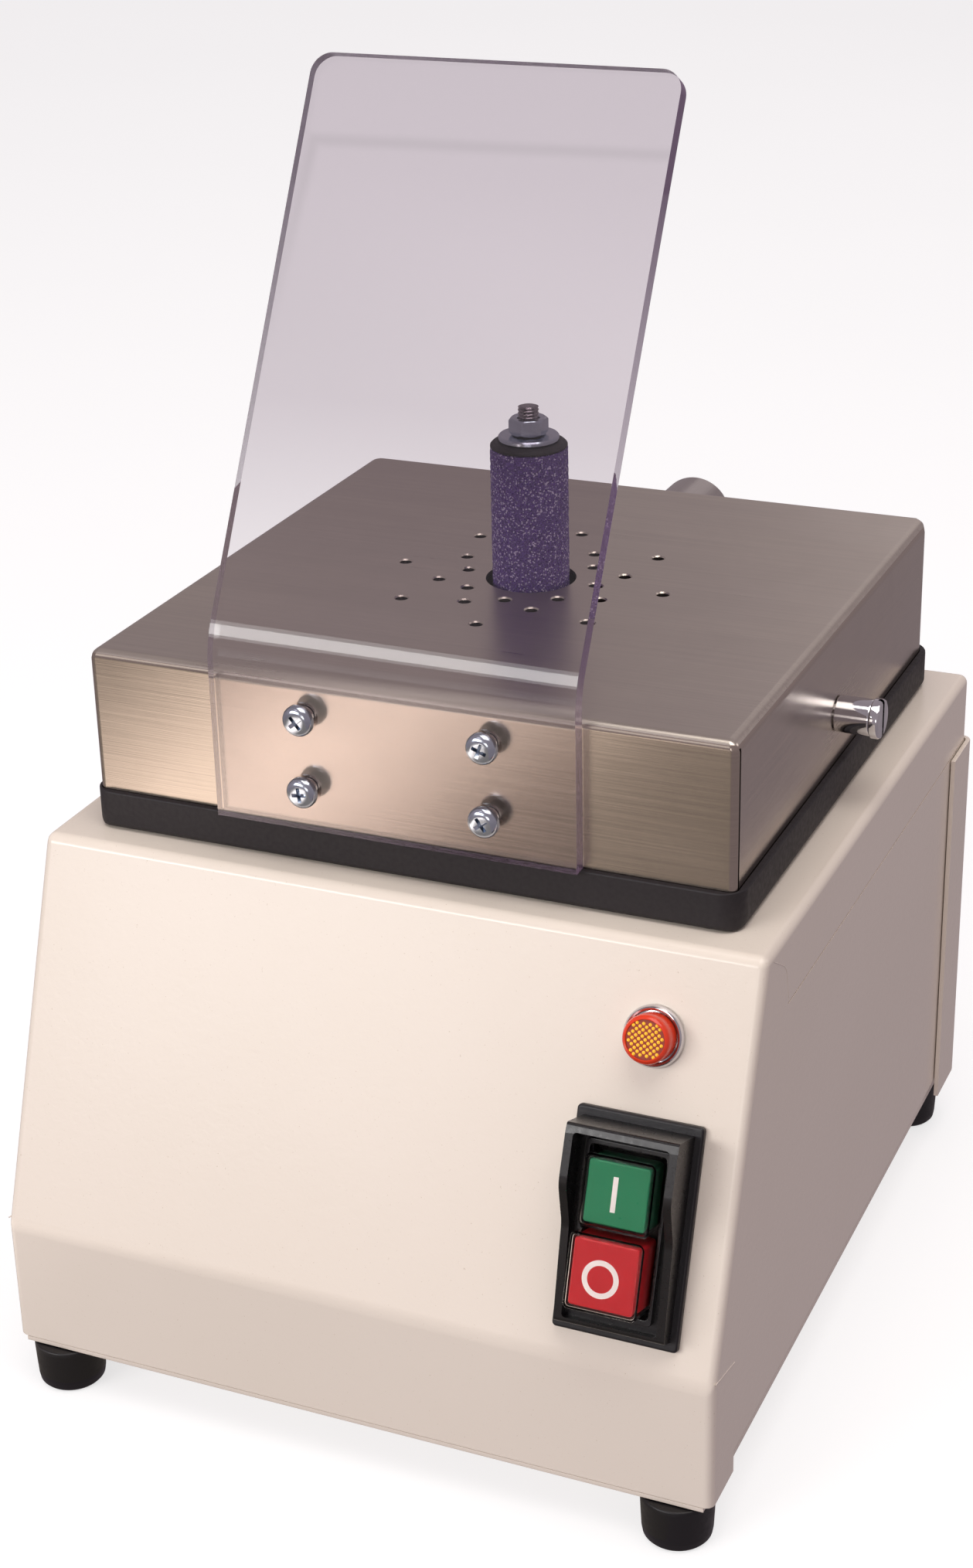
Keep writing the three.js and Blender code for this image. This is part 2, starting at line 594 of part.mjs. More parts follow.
// Cutters that round the shield's two top corners, laid square to its leaning upper part.
function shieldCornerCutters() {
  const radius = SHIELD_CORNER_RADIUS;
  return [-1, 1].map((side) => {
    const waste = new THREE.Shape();
    waste.moveTo(radius + 2, radius + 2);
    waste.lineTo(radius + 2, 0);
    waste.lineTo(radius, 0);
    waste.absarc(0, 0, radius, 0, Math.PI / 2, false);
    waste.lineTo(0, radius + 2);
    waste.closePath();
    const cutter = prism(waste, -REACH, REACH, { curveSegments: 8 });
    if (side < 0) cutter.rotateY(Math.PI);
    const place = new THREE.Matrix4().makeRotationX(Math.PI / 2 - SHIELD_LEAN);
    const reach = SHIELD_UPPER_LENGTH - radius;
    const frontY = SHIELD_BACK_Y - SHIELD_THICKNESS;
    place.setPosition(
      SHIELD_CENTRE_X + side * (SHIELD_HALF_WIDTH - radius),
      frontY + reach * Math.sin(SHIELD_LEAN),
      SHIELD_BEND_Z + reach * Math.cos(SHIELD_LEAN),
    );
    return cutter.applyMatrix4(place);
  });
}

function addShieldFasteners() {
  const frontY = SHIELD_BACK_Y - SHIELD_THICKNESS - GAP;
  const nutY = TABLE_FRONT_Y + TABLE_SHEET + GAP;
  shieldScrewPlaces.forEach(([x, z], i) => {
    const screw = part(`shield_screw_${i + 1}`, panScrew(4.75, 3.6, SHIELD_SCREW_SHANK, 13, 20), zinc);
    screw.rotation.x = Math.PI / 2;
    screw.position.set(x, frontY, z);
    const nut = part(`shield_nut_${i + 1}`, hexPrism(8, SHIELD_SCREW_SHANK + GAP, 0, 4), zinc);
    nut.rotation.x = -Math.PI / 2;
    nut.position.set(x, nutY, z);
  });
}

// ---- latch ----
const LATCH_NECK_RADIUS = 4;
const LATCH_SHAFT_RADIUS = 2.5;
const LATCH_INNER_X = TABLE_HALF_WIDTH - TABLE_SHEET - GAP;
const LATCH_BARREL_END_X = TABLE_HALF_WIDTH + 8.5;
const LATCH_NUT_THICKNESS = 1.4;

function latchBarrel() {
  const wallX = TABLE_HALF_WIDTH + GAP;
  return alongX(turned([
    [LATCH_SHAFT_RADIUS + GAP, LATCH_INNER_X - LATCH_NUT_THICKNESS - GAP],
    [LATCH_NECK_RADIUS, LATCH_INNER_X - LATCH_NUT_THICKNESS - GAP],
    [LATCH_NECK_RADIUS, wallX],
    [LATCH_BARREL_RADIUS, wallX],
    [LATCH_BARREL_RADIUS, LATCH_BARREL_END_X - 0.5],
    [LATCH_BARREL_RADIUS - 0.5, LATCH_BARREL_END_X],
    [LATCH_SHAFT_RADIUS + GAP, LATCH_BARREL_END_X],
    [LATCH_SHAFT_RADIUS + GAP, LATCH_INNER_X - LATCH_NUT_THICKNESS - GAP],
  ], 32));
}

// Turning head, its shaft and the tongue that wedges against the tray's upstand when it hangs down.
function latchKnob() {
  const headRadius = 5.8;
  const headBackX = LATCH_HEAD_X - 3;
  const tongueX = LATCH_INNER_X - LATCH_NUT_THICKNESS - 2 * GAP;
  const head = alongX(turned([
    [0, tongueX - 0.8],
    [LATCH_SHAFT_RADIUS, tongueX - 0.8],
    [LATCH_SHAFT_RADIUS, LATCH_BARREL_END_X + 0.2],
    [3.6, LATCH_BARREL_END_X + 0.2],
    [3.6, headBackX],
    [headRadius, headBackX],
    [headRadius, LATCH_HEAD_X - 0.6],
    [headRadius - 0.6, LATCH_HEAD_X],
    [0, LATCH_HEAD_X],
  ], 32));
  const slot = block(LATCH_HEAD_X - 1.4, LATCH_HEAD_X + 1, -0.7, 0.7, -headRadius - 1, headRadius + 1);
  const tongue = block(tongueX - 0.8, tongueX, -3.4, 3.4, -11, 2);
  return cut(join(head, tongue), slot);
}

function addLatch() {
  const at = (mesh) => mesh.position.set(0, LATCH_Y, LATCH_Z);
  at(part("latch_barrel", latchBarrel(), chrome));
  at(part("latch_knob", latchKnob(), chrome));
  const nutX = LATCH_INNER_X - LATCH_NUT_THICKNESS;
  const nut = hexPrism(11, LATCH_NECK_RADIUS + GAP, nutX, LATCH_INNER_X);
  at(part("latch_nut", alongX(nut), zinc));
}

// ---- spindle and motor ----
const SEAT_Z = SLEEVE_TOP_Z - SLEEVE_LENGTH - 2.2; // top of the collar that the drum stands on
const SEAT_HEIGHT = 3;
const CORE_TOP_Z = SLEEVE_TOP_Z + 1.7;
const WASHER_THICKNESS = 1.5;
const NUT_HEIGHT = 4.8;

function spindleShaft() {
  return turned([
    [0, MOTOR_BOTTOM_Z - 26],
    [SHAFT_RADIUS, MOTOR_BOTTOM_Z - 26],
    [SHAFT_RADIUS, SEAT_Z - SEAT_HEIGHT - GAP],
    [STUD_RADIUS, SEAT_Z - SEAT_HEIGHT - GAP],
    [STUD_RADIUS, STUD_TOP_Z - 0.6],
    [STUD_RADIUS - 0.6, STUD_TOP_Z],
    [0, STUD_TOP_Z],
  ], 24);
}

// Expanding rubber drum: its shoulders swell over both ends of the sleeve.
function drumCore() {
  const bore = STUD_RADIUS + GAP;
  const sleeveBottom = SLEEVE_TOP_Z - SLEEVE_LENGTH;
  const shoulder = SLEEVE_RADIUS - 0.15;
  return turned([
    [bore, SEAT_Z + GAP],
    [shoulder - 2, SEAT_Z + GAP],
    [shoulder, SEAT_Z + 1.2],
    [shoulder, sleeveBottom - GAP],
    [CORE_RADIUS, sleeveBottom - GAP],
    [CORE_RADIUS, SLEEVE_TOP_Z + GAP],
    [shoulder, SLEEVE_TOP_Z + GAP],
    [shoulder - 0.5, SLEEVE_TOP_Z + 0.9],
    [shoulder - 2, CORE_TOP_Z],
    [bore, CORE_TOP_Z],
    [bore, SEAT_Z + GAP],
  ], 30);
}

function addSpindle() {
  const spindle = new THREE.Group();
  spindle.position.set(0, SPINDLE_Y, 0);
  machine.add(spindle);
  const washerZ = CORE_TOP_Z + GAP;
  const nutZ = washerZ + WASHER_THICKNESS + GAP;
  const bore = STUD_RADIUS + GAP;
  part("spindle_shaft", spindleShaft(), steel, spindle);
  part("drum_seat", ring(bore, SLEEVE_RADIUS - 2.5, SEAT_Z - SEAT_HEIGHT, SEAT_Z, 32), steel, spindle);
  part("drum_core", drumCore(), rubber, spindle);
  const sleeve = ring(CORE_RADIUS + GAP, SLEEVE_RADIUS, SLEEVE_TOP_Z - SLEEVE_LENGTH, SLEEVE_TOP_Z, 30);
  part("abrasive_sleeve", sleeve, abrasive, spindle);
  part("drum_washer", ring(bore, 8.8, washerZ, washerZ + WASHER_THICKNESS, 32), zinc, spindle);
  part("drum_nut", hexPrism(10, bore, nutZ, nutZ + NUT_HEIGHT), zinc, spindle);
  part("cooling_fan", coolingFan(), blackPlastic, spindle);
}

// Fan on the lower shaft end: a hub, a disc and radial blades.
const FAN_TOP_Z = MOTOR_BOTTOM_Z - 4;
function coolingFan() {
  const hub = ring(SHAFT_RADIUS + GAP, 9, FAN_TOP_Z - 16, FAN_TOP_Z, 24);
  const disc = ring(8, 38, FAN_TOP_Z - 2, FAN_TOP_Z, 32);
  const blades = Array.from({ length: 8 }, (_, i) =>
    block(8, 37, -0.8, 0.8, FAN_TOP_Z - 14, FAN_TOP_Z - 1).rotateZ((i * Math.PI) / 4));
  return join(hub, disc, ...blades);
}

const BEARING_RADIUS = 13;
const BEARING_WIDTH = 8;
function bell(inwards) {
  // Drawn with its closed face at z = 0 and its skirt below; inwards = -1 turns it over.
  const boss = BEARING_RADIUS + GAP;
  const profile = [
    [boss, -BEARING_WIDTH - 2],
    [boss + 3, -BEARING_WIDTH - 2],
    [boss + 3, -4],
    [MOTOR_RADIUS - 4, -4],
    [MOTOR_RADIUS - 4, -BELL_HEIGHT],
    [MOTOR_RADIUS, -BELL_HEIGHT],
    [MOTOR_RADIUS, -3],
    [MOTOR_RADIUS - 3, 0],
    [SHAFT_RADIUS + 1, 0],
    [SHAFT_RADIUS + 1, -1.5],
    [boss, -1.5],
    [boss, -BEARING_WIDTH - 2],
  ];
  const geometry = turned(profile, 24);
  return inwards < 0 ? geometry.rotateX(Math.PI) : geometry;
}

function addMotor() {
  const motor = new THREE.Group();
  motor.position.set(0, SPINDLE_Y, 0);
  machine.add(motor);
  const screwHoles = motorScrewPlaces.map(([x, y]) =>
    rod(MOTOR_SCREW_RADIUS + GAP, -5, 5, 12).translate(x, y - SPINDLE_Y, 0));
  part("motor_top_bell", cut(bell(1), ...screwHoles), castAluminium, motor).position.z = MOTOR_TOP_Z;
  part("motor_bottom_bell", bell(-1), castAluminium, motor).position.z = MOTOR_BOTTOM_Z;
  const statorBottom = MOTOR_BOTTOM_Z + BELL_HEIGHT + GAP;
  const statorTop = MOTOR_TOP_Z - BELL_HEIGHT - GAP;
  part("motor_housing", ring(MOTOR_RADIUS - 6, MOTOR_RADIUS, statorBottom, statorTop, 36), lamination, motor);
  const race = (z) => ring(SHAFT_RADIUS + 0.05, BEARING_RADIUS, z, z + BEARING_WIDTH, 32);
  part("upper_bearing", race(MOTOR_TOP_Z - BEARING_WIDTH - 1.8), steel, motor);
  part("lower_bearing", race(MOTOR_BOTTOM_Z + 1.8), steel, motor);
  motorScrewPlaces.forEach(([x, y], i) => {
    const screw = part(`motor_screw_${i + 1}`, panScrew(4.2, 3, MOTOR_SCREW_RADIUS, 7.5), zinc);
    screw.position.set(x, y, TOP_Z + SHEET + 2 * GAP);
  });
}

// ---- switch, in the slope's frame ----
const FRAME_WIDTH = 30.8;
const FRAME_WALL = 2.2;
const FRAME_BOTTOM = SWITCH_BOTTOM + 2.5;
const FRAME_TOP = SWITCH_BOTTOM + SWITCH_LENGTH - 2.3;
const SWITCH_FLOOR = 5; // height of the surface round the buttons
const BUTTON_TRAVEL = 3;
const BUTTON_FOOT = 0.5; // height of a button's underside at rest
const BUTTON_X = 79;
const startButton = { x: BUTTON_X, y: 49.3, width: 17, length: 16.9, face: 13 };
const stopButton = { x: BUTTON_X, y: 28.5, width: 17.8, length: 18, face: 16 };

function switchBody() {
  const middle = SWITCH_X;
  const half = SWITCH_WIDTH / 2;
  const top = SWITCH_BOTTOM + SWITCH_LENGTH;
  const plate = rectangle(middle - half, SWITCH_BOTTOM, middle + half, top, 1.5);
  const flange = prism(plate, GAP, 2, { curveSegments: 3 });
  // Side view of the guard, as (up the slope, out of the panel): high round the start button, low below.
  const guardSide = outline([
    [FRAME_BOTTOM, 1],
    [FRAME_TOP, 1],
    [FRAME_TOP, 15, 0.8],
    [FRAME_TOP - 16.3, 16.2, 8],
    [FRAME_TOP - 27.5, 10.2, 8],
    [FRAME_BOTTOM + 0.5, 7.6, 1.5],
  ]);
  const guard = sidePrism(guardSide, middle - FRAME_WIDTH / 2, middle + FRAME_WIDTH / 2, {
    bevel: 0.6,
    bevelSegments: 1,
    curveSegments: 4,
  });
  const well = block(
    middle - FRAME_WIDTH / 2 + FRAME_WALL, middle + FRAME_WIDTH / 2 - FRAME_WALL,
    FRAME_BOTTOM + FRAME_WALL, FRAME_TOP - FRAME_WALL, SWITCH_FLOOR, 30,
  );
  const [cutoutWidth, cutoutLength] = SWITCH_CUTOUT;
  const rearBox = block(
    middle - cutoutWidth / 2 + 0.5, middle + cutoutWidth / 2 - 0.5,
    switchMiddle - cutoutLength / 2 + 0.5, switchMiddle + cutoutLength / 2 - 0.5, -28, 1.5,
  );
  const pockets = [startButton, stopButton].map(({ x, y, width, length }) =>
    block(x - width / 2 - BUTTON_GAP, x + width / 2 + BUTTON_GAP, y - length / 2 - BUTTON_GAP,
      y + length / 2 + BUTTON_GAP, BUTTON_FOOT - BUTTON_TRAVEL - 1, 30));
  return cut(join(flange, guard, rearBox), well, ...pockets);
}

function buttonCap({ x, y, width, length, face }) {
  const shape = rectangle(x - width / 2, y - length / 2, x + width / 2, y + length / 2, 1.4);
  const cap = prism(shape, BUTTON_FOOT - 1, face, { bevel: 0.8, curveSegments: 3, bevelSegments: 2 });
  return cut(cap, block(x - width, x + width, y - length, y + length, BUTTON_FOOT - 3, BUTTON_FOOT));
}

function addSwitch() {
  part("switch_body", switchBody(), blackPlastic, slope);
  part("start_button", buttonCap(startButton), green, slope);
  part("stop_button", buttonCap(stopButton), red, slope);
}

// ---- indicator lamp, in the slope's frame ----
function addLamp() {
  const bezelRadius = 8.4;
  const lensRadius = 6.6;
  const sleeveRadius = LAMP_HOLE_RADIUS - GAP;
  const lamp = new THREE.Group();
  lamp.position.set(LAMP_X, LAMP_RISE, 0);
  slope.add(lamp);
  const seat = lensRadius + GAP;
  part("lamp_bezel", turned([
    [4.4, -22],
    [sleeveRadius, -22],
    [sleeveRadius, GAP],
    [bezelRadius, GAP],
    [bezelRadius, 1],
    [bezelRadius - 0.7, 1.9],
    [seat + 0.3, 2.2],
    [seat, 2],
    [seat, 0.9],
    [4.4, 0.9],
    [4.4, -22],
  ], 32), chrome, lamp);
  part("lamp_lens", turned([
    [0, -12],
    [4.1, -12],
    [4.1, 1.2],
    [lensRadius, 1.2],
    [lensRadius, 7],
    [lensRadius - 0.9, 8],
    [0, 8.2],
  ], 32), orange, lamp);
  part("lamp_nut", hexPrism(16, sleeveRadius + GAP, -SHEET - GAP - 3, -SHEET - GAP), zinc, lamp);
}

// ---- mains inlet and capacitor ----
function powerInlet() {
  const flangeY = WRAP_Y + GAP;
  const [cutWidth, cutHeight] = INLET_CUTOUT;
  const flange = rearPrism(rectangle(-18, -13, 18, 13, 2), flangeY, flangeY + 2.4);
  const bodyShape = rectangle(-cutWidth / 2 + 0.4, -cutHeight / 2 + 0.4, cutWidth / 2 - 0.4,
    cutHeight / 2 - 0.4, 1);
  const body = rearPrism(bodyShape, flangeY - 24, flangeY + 1);
  const socket = rearPrism(outline([
    [-12, -8],
    [12, -8],
    [12, 4],
    [8, 8],
    [-8, 8],
    [-12, 4],
  ]), flangeY - 15, flangeY + 5);
  const pins = [[-7, -1.5], [0, 2], [7, -1.5]].map(([x, z]) =>
    block(x - 1, x + 1, flangeY - 17, flangeY - 1, z - 2, z + 2));
  return join(cut(join(flange, body), socket), ...pins);
}

function capacitor() {
  return turned([[0, 0], [17, 0], [17, 54], [15.5, 56], [0, 56]], 32);
}

// ---- assembly ----
part("housing_shell", housingShell(), paint);
part("rear_cover", rearCover(), paint);
part("base_plate", basePlate(), paint);
addRearScrews();
addFeet();
part("dust_tray", dustTray(), stainless);
part("cover_trim", coverTrim(), rubber);
part("suction_table", suctionTable(), stainless);
part("exhaust_port", exhaustPort(), stainless);
part("clear_shield", clearShield(), clear);
addShieldFasteners();
addLatch();
addSpindle();
addMotor();
addSwitch();
addLamp();
part("power_inlet", powerInlet(), blackPlastic).position.set(INLET_X, 0, INLET_Z);
part("run_capacitor", capacitor(), whitePlastic).position.set(-76, 190, BASE_TOP_Z + GAP);

// The footprint's middle goes to the origin.
const model = new THREE.Group();
model.add(machine);
model.updateMatrixWorld(true);
const extent = new THREE.Box3().setFromObject(machine, true);
machine.position.y = -(extent.min.y + extent.max.y) / 2;

export default model;
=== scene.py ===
import math
from math import cos, pi, radians, sin, tan

import bmesh
import bpy
from mathutils import Matrix, Vector


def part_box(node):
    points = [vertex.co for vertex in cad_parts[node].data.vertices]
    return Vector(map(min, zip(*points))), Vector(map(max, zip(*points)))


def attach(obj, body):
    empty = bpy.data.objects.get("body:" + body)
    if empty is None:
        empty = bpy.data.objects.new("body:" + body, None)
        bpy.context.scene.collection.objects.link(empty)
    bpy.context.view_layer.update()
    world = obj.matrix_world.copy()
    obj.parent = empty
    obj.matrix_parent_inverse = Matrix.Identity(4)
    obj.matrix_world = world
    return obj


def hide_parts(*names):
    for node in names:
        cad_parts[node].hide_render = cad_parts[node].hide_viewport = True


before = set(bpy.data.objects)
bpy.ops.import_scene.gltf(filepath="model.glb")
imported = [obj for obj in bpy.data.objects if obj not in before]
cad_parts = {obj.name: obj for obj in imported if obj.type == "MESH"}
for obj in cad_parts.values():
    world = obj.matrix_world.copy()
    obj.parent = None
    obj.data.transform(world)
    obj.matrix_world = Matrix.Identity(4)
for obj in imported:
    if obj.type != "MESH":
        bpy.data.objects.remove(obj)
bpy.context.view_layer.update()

# ---- Frame. Shapes are drawn in millimetres from the housing's lower front edge: X across from the
# middle, Y to the back, Z up. Everything below is placed from the CAD nodes' boxes.
shell_low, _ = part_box("housing_shell")
ORIGIN = Vector((0.0, shell_low.y, shell_low.z))
TO_ROW = Matrix.Translation(ORIGIN) @ Matrix.Scale(0.001, 4)


def cad(node):
    """The low and high corners of a CAD node in the drawing's millimetres."""
    low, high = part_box(node)
    return (low - ORIGIN) * 1000, (high - ORIGIN) * 1000


def halfway(low, high):
    """The X, Y and Z midway between two corners."""
    return [(a + b) / 2 for a, b in zip(low, high)]


# ---- Materials
def srgb(r, g, b):
    """Linear RGBA from sRGB values of 0 to 255."""
    channel = lambda c: c / 12.92 if c <= 0.04045 else ((c + 0.055) / 1.055) ** 2.4
    return (channel(r / 255), channel(g / 255), channel(b / 255), 1.0)


def dimmed(colour, share):
    """The colour with its red, green and blue scaled."""
    return tuple(c * share for c in colour[:3]) + (1,)


class Shader:
    """A principled material with a few short ways to add procedural nodes."""

    def __init__(self, name, **values):
        self.material = bpy.data.materials.new(name)
        self.material.use_nodes = True
        self.tree = self.material.node_tree
        self.bsdf = self.tree.nodes["Principled BSDF"]
        self.place = self.tree.nodes.new("ShaderNodeTexCoord").outputs["Object"]
        self.set(**values)

    def set(self, **values):
        for key, value in values.items():
            self.link(value, self.bsdf.inputs[key.replace("_", " ")])

    def link(self, value, socket):
        if isinstance(value, bpy.types.NodeSocket):
            self.tree.links.new(value, socket)
        else:
            socket.default_value = value

    def node(self, kind, **inputs):
        """Adds a node and sets or links its inputs by name."""
        node = self.tree.nodes.new("ShaderNode" + kind)
        for key, value in inputs.items():
            self.link(value, node.inputs[key.replace("_", " ")])
        return node

    def scaled(self, x, y, z, turn=(0, 0, 0)):
        return self.node("Mapping", Vector=self.place, Scale=(x, y, z), Rotation=turn).outputs["Vector"]

    def noise(self, scale, detail, roughness=0.5, distortion=0.0, vector=None):
        node = self.node("TexNoise", Vector=vector or self.place, Scale=scale, Detail=detail)
        node.inputs["Roughness"].default_value = roughness
        node.inputs["Distortion"].default_value = distortion
        return node.outputs["Fac"]

    def cells(self, scale, output="Distance"):
        return self.node("TexVoronoi", Vector=self.place, Scale=scale).outputs[output]

    def span(self, value, low, high, to_low=0.0, to_high=1.0, smooth=False):
        limits = {"From_Min": low, "From_Max": high, "To_Min": to_low, "To_Max": to_high}
        node = self.node("MapRange", Value=value, **limits)
        node.interpolation_type = "SMOOTHSTEP" if smooth else "LINEAR"
        return node.outputs["Result"]

    def maths(self, operation, a, b=0.0):
        node = self.node("Math")
        node.operation = operation
        self.link(a, node.inputs[0])
        self.link(b, node.inputs[1])
        return node.outputs[0]

    def blend(self, factor, a, b):
        """Mixes two colours: sockets 6, 7 and 2 are the Mix node's colour inputs and output."""
        node = self.node("Mix")
        node.data_type = "RGBA"
        self.link(factor, node.inputs["Factor"])
        self.link(a, node.inputs[6])
        self.link(b, node.inputs[7])
        return node.outputs[2]

    def bump(self, height, distance, strength, after=None):
        node = self.node("Bump", Height=height, Distance=distance, Strength=strength)
        if after is not None:
            self.link(after, node.inputs["Normal"])
        return node.outputs["Normal"]

    def split_xyz(self):
        return self.node("SeparateXYZ", Vector=self.place).outputs


def make_paint():
    """Cream powder coat: faint patches, a few specks and a soft orange peel."""
    s = Shader("cream_powder_coat", IOR=1.5)
    patches = s.noise(9, 4, 0.55)
    tone = s.blend(s.span(patches, 0.3, 0.7), srgb(235, 225, 211), srgb(238, 228, 215))
    specks = s.span(s.noise(1600, 2, 0.6), 0.70, 0.76)
    s.set(Base_Color=s.blend(specks, tone, srgb(214, 200, 182)))
    s.set(Roughness=s.span(s.noise(700, 3), 0.3, 0.7, 0.21, 0.25))
    peel = s.noise(430, 1.6, 0.5, 0.6)
    fine = s.noise(1500, 2, 0.5)
    s.set(Normal=s.bump(fine, 0.00003, 0.3, after=s.bump(peel, 0.00016, 0.2)))
    return s.material


def brushed(name, base, direction, roughness, marks=True):
    """Brushed stainless. direction holds the noise scale along X, Y and Z: small runs along the grain."""
    s = Shader(name, Metallic=1.0)
    along = s.scaled(*direction)
    grain = s.noise(1, 3, 0.65, vector=along)
    fine = s.noise(2.7, 2, 0.6, vector=along)
    cloud = s.noise(14, 4, 0.6)
    tone = s.blend(s.span(grain, 0.25, 0.75), dimmed(base, 0.87), base)
    if marks:
        wipe = s.span(s.noise(30, 5, 0.65, 1.2), 0.45, 0.75)
        tone = s.blend(s.maths("MULTIPLY", wipe, 0.16), tone, dimmed(base, 0.72))
    s.set(Base_Color=tone)
    rough = s.span(cloud, 0.3, 0.7, roughness - 0.03, roughness + 0.07)
    s.set(Roughness=s.maths("ADD", rough, s.span(grain, 0.3, 0.7, -0.025, 0.03)))
    s.set(Normal=s.bump(s.maths("ADD", grain, fine), 0.000022, 0.5))
    return s.material


def metal(name, base, roughness, scratches=0.35, wear=0.0):
    """Smooth metal with a thin patchy film and fine scratches."""
    s = Shader(name, Metallic=1.0)
    film = s.noise(160, 4, 0.6)
    s.set(Base_Color=s.blend(s.span(film, 0.3, 0.75), base, dimmed(base, 0.82 - wear)))
    s.set(Roughness=s.span(s.noise(420, 3), 0.25, 0.75, roughness * 0.75, roughness * 1.4))
    s.set(Normal=s.bump(s.noise(1500, 2), 0.00002, scratches))
    return s.material


def plastic(name, base, roughness, grain=900, depth=0.00003, spread=0.08, **extra):
    """Moulded plastic, rubber or ink with a fine grain."""
    s = Shader(name, IOR=1.5, **extra)
    mottled = s.noise(60, 4, 0.55)
    s.set(Base_Color=s.blend(s.span(mottled, 0.3, 0.7), dimmed(base, 0.93), base))
    s.set(Roughness=s.span(s.noise(700, 3), 0.25, 0.75, roughness - spread, roughness + spread))
    s.set(Normal=s.bump(s.noise(grain, 3, 0.6), depth, 0.5))
    return s.material


def make_grit():
    """Purple ceramic grit: faceted grains between darker resin, with painted glints: a few grains get a pale
    lilac base colour that stands in for the light they catch.
    """
    s = Shader("purple_grit", IOR=1.6)
    grain = s.cells(2400)
    tint = s.cells(2400, output="Color")
    shade = s.span(s.noise(2600, 3, 0.7), 0.36, 0.66)
    body = s.blend(shade, srgb(52, 32, 86), srgb(128, 98, 184))
    channel = s.node("SeparateColor", Color=tint)
    # Painted glints: pale lilac grains in the base colour stand in for sparkle.
    painted_glint = s.span(channel.outputs[0], 0.84, 0.91)
    s.set(Base_Color=s.blend(painted_glint, body, srgb(214, 200, 236)))
    s.set(Roughness=s.span(channel.outputs[1], 0.0, 1.0, 0.25, 0.75))
    tilt = s.bump(s.span(grain, 0.0, 0.6, 1.0, 0.0), 0.00028, 0.9)
    s.set(Normal=s.bump(s.noise(1300, 2), 0.0003, 0.5, after=tilt))
    return s.material


def hairlines(s, rough, spread):
    """Hairline wear in a clear sheet, in its roughness, and a very slight waviness."""
    hair = s.noise(1, 2, 0.6, vector=s.scaled(2600, 90, 90, (0.3, 0.2, 0.9)))
    s.set(Roughness=s.span(hair, 0.6, 0.85, rough, rough + spread))
    s.set(Normal=s.bump(s.noise(8, 2), 0.0004, 0.05))


def make_boot_clear():
    """The clear flexible boots over the buttons."""
    s = Shader("clear_boot", Transmission_Weight=1.0, IOR=1.2)
    tint = srgb(244, 238, 234)
    haze = s.noise(22, 4, 0.6)
    s.set(Base_Color=s.blend(s.span(haze, 0.3, 0.7), tint, dimmed(tint, 0.97)))
    hairlines(s, 0.03, 0.06)
    return s.material


def make_shield_sheet():
    """Smoky lilac acrylic, darker towards the top: the change with height is painted shade."""
    s = Shader("clear_sheet", Transmission_Weight=1.0, IOR=1.45)
    height = s.split_xyz()[2]
    # Painted shade: the tint deepens with height, clearest low down.
    low = s.blend(s.span(height, 0.235, 0.285), (0.90, 0.875, 0.89, 1), (0.69, 0.642, 0.678, 1))
    tone = s.blend(s.span(height, 0.29, 0.34), low, (0.635, 0.585, 0.625, 1))
    cloud = s.span(s.noise(18, 3, 0.5), 0.3, 0.7, 0.0, 0.05)
    s.set(Base_Color=s.blend(cloud, tone, (0.6, 0.55, 0.6, 1)))
    hairlines(s, 0.0, 0.015)
    return s.material


def make_shield_edge():
    """The sheet's sawn edge: satin purple, paler and more see-through low down, darker towards the top; the
    change with height is painted shade.
    """
    s = Shader("clear_sheet_edge", IOR=1.49)
    height = s.span(s.split_xyz()[2], 0.25, 0.34)
    # Painted shade: the edge darkens and turns more opaque with height.
    tone = s.blend(height, srgb(184, 156, 190), srgb(122, 98, 132))
    saw = s.noise(1, 3, 0.6, vector=s.scaled(300, 2500, 300))
    s.set(Base_Color=s.blend(s.span(saw, 0.3, 0.7, 0.0, 0.35), tone, srgb(90, 70, 98)))
    s.set(Roughness=s.span(saw, 0.3, 0.7, 0.25, 0.45), Alpha=s.span(height, 0.0, 1.0, 0.4, 0.96))
    s.set(Normal=s.bump(saw, 0.00005, 0.5))
    return s.material


paint = make_paint()
stainless_top = brushed("stainless_table_top", srgb(206, 198, 186), (10, 900, 900), 0.30)
stainless_wall = brushed("stainless_table_wall", srgb(190, 178, 166), (9, 9, 1900), 0.20)
stainless_tube = brushed("stainless_tube", srgb(188, 182, 178), (1500, 60, 1500), 0.25, marks=False)
tray_steel = brushed("stainless_tray", srgb(176, 172, 168), (60, 900, 900), 0.33)
zinc = metal("zinc_plate", srgb(196, 204, 216), 0.16)
chrome = metal("chrome_plate", srgb(222, 222, 226), 0.06, 0.12)
turned_steel = metal("turned_steel", srgb(150, 150, 152), 0.3, 0.6)
dark_thread = metal("stud_steel", srgb(150, 144, 148), 0.2, 0.4, wear=0.05)
cast = metal("cast_alloy", srgb(150, 152, 154), 0.5, 1.0)
lamination = metal("stator_steel", srgb(88, 90, 98), 0.45, 0.8)
rubber = plastic("black_rubber", srgb(29, 24, 28), 0.62, 700, 0.00008)
foot_rubber = plastic("foot_rubber", srgb(11, 8, 12), 0.45, 500, 0.00005)
black = plastic("black_plastic", srgb(9, 6, 9), 0.3, 1100, 0.00002, 0.05)
black_flange = plastic("black_plastic_grained", srgb(13, 9, 16), 0.42, 900, 0.0001)
green = plastic("green_plastic", srgb(34, 152, 106), 0.3, 600, 0.00001, 0.03)
red = plastic("red_plastic", srgb(222, 36, 48), 0.3, 600, 0.00001, 0.03)
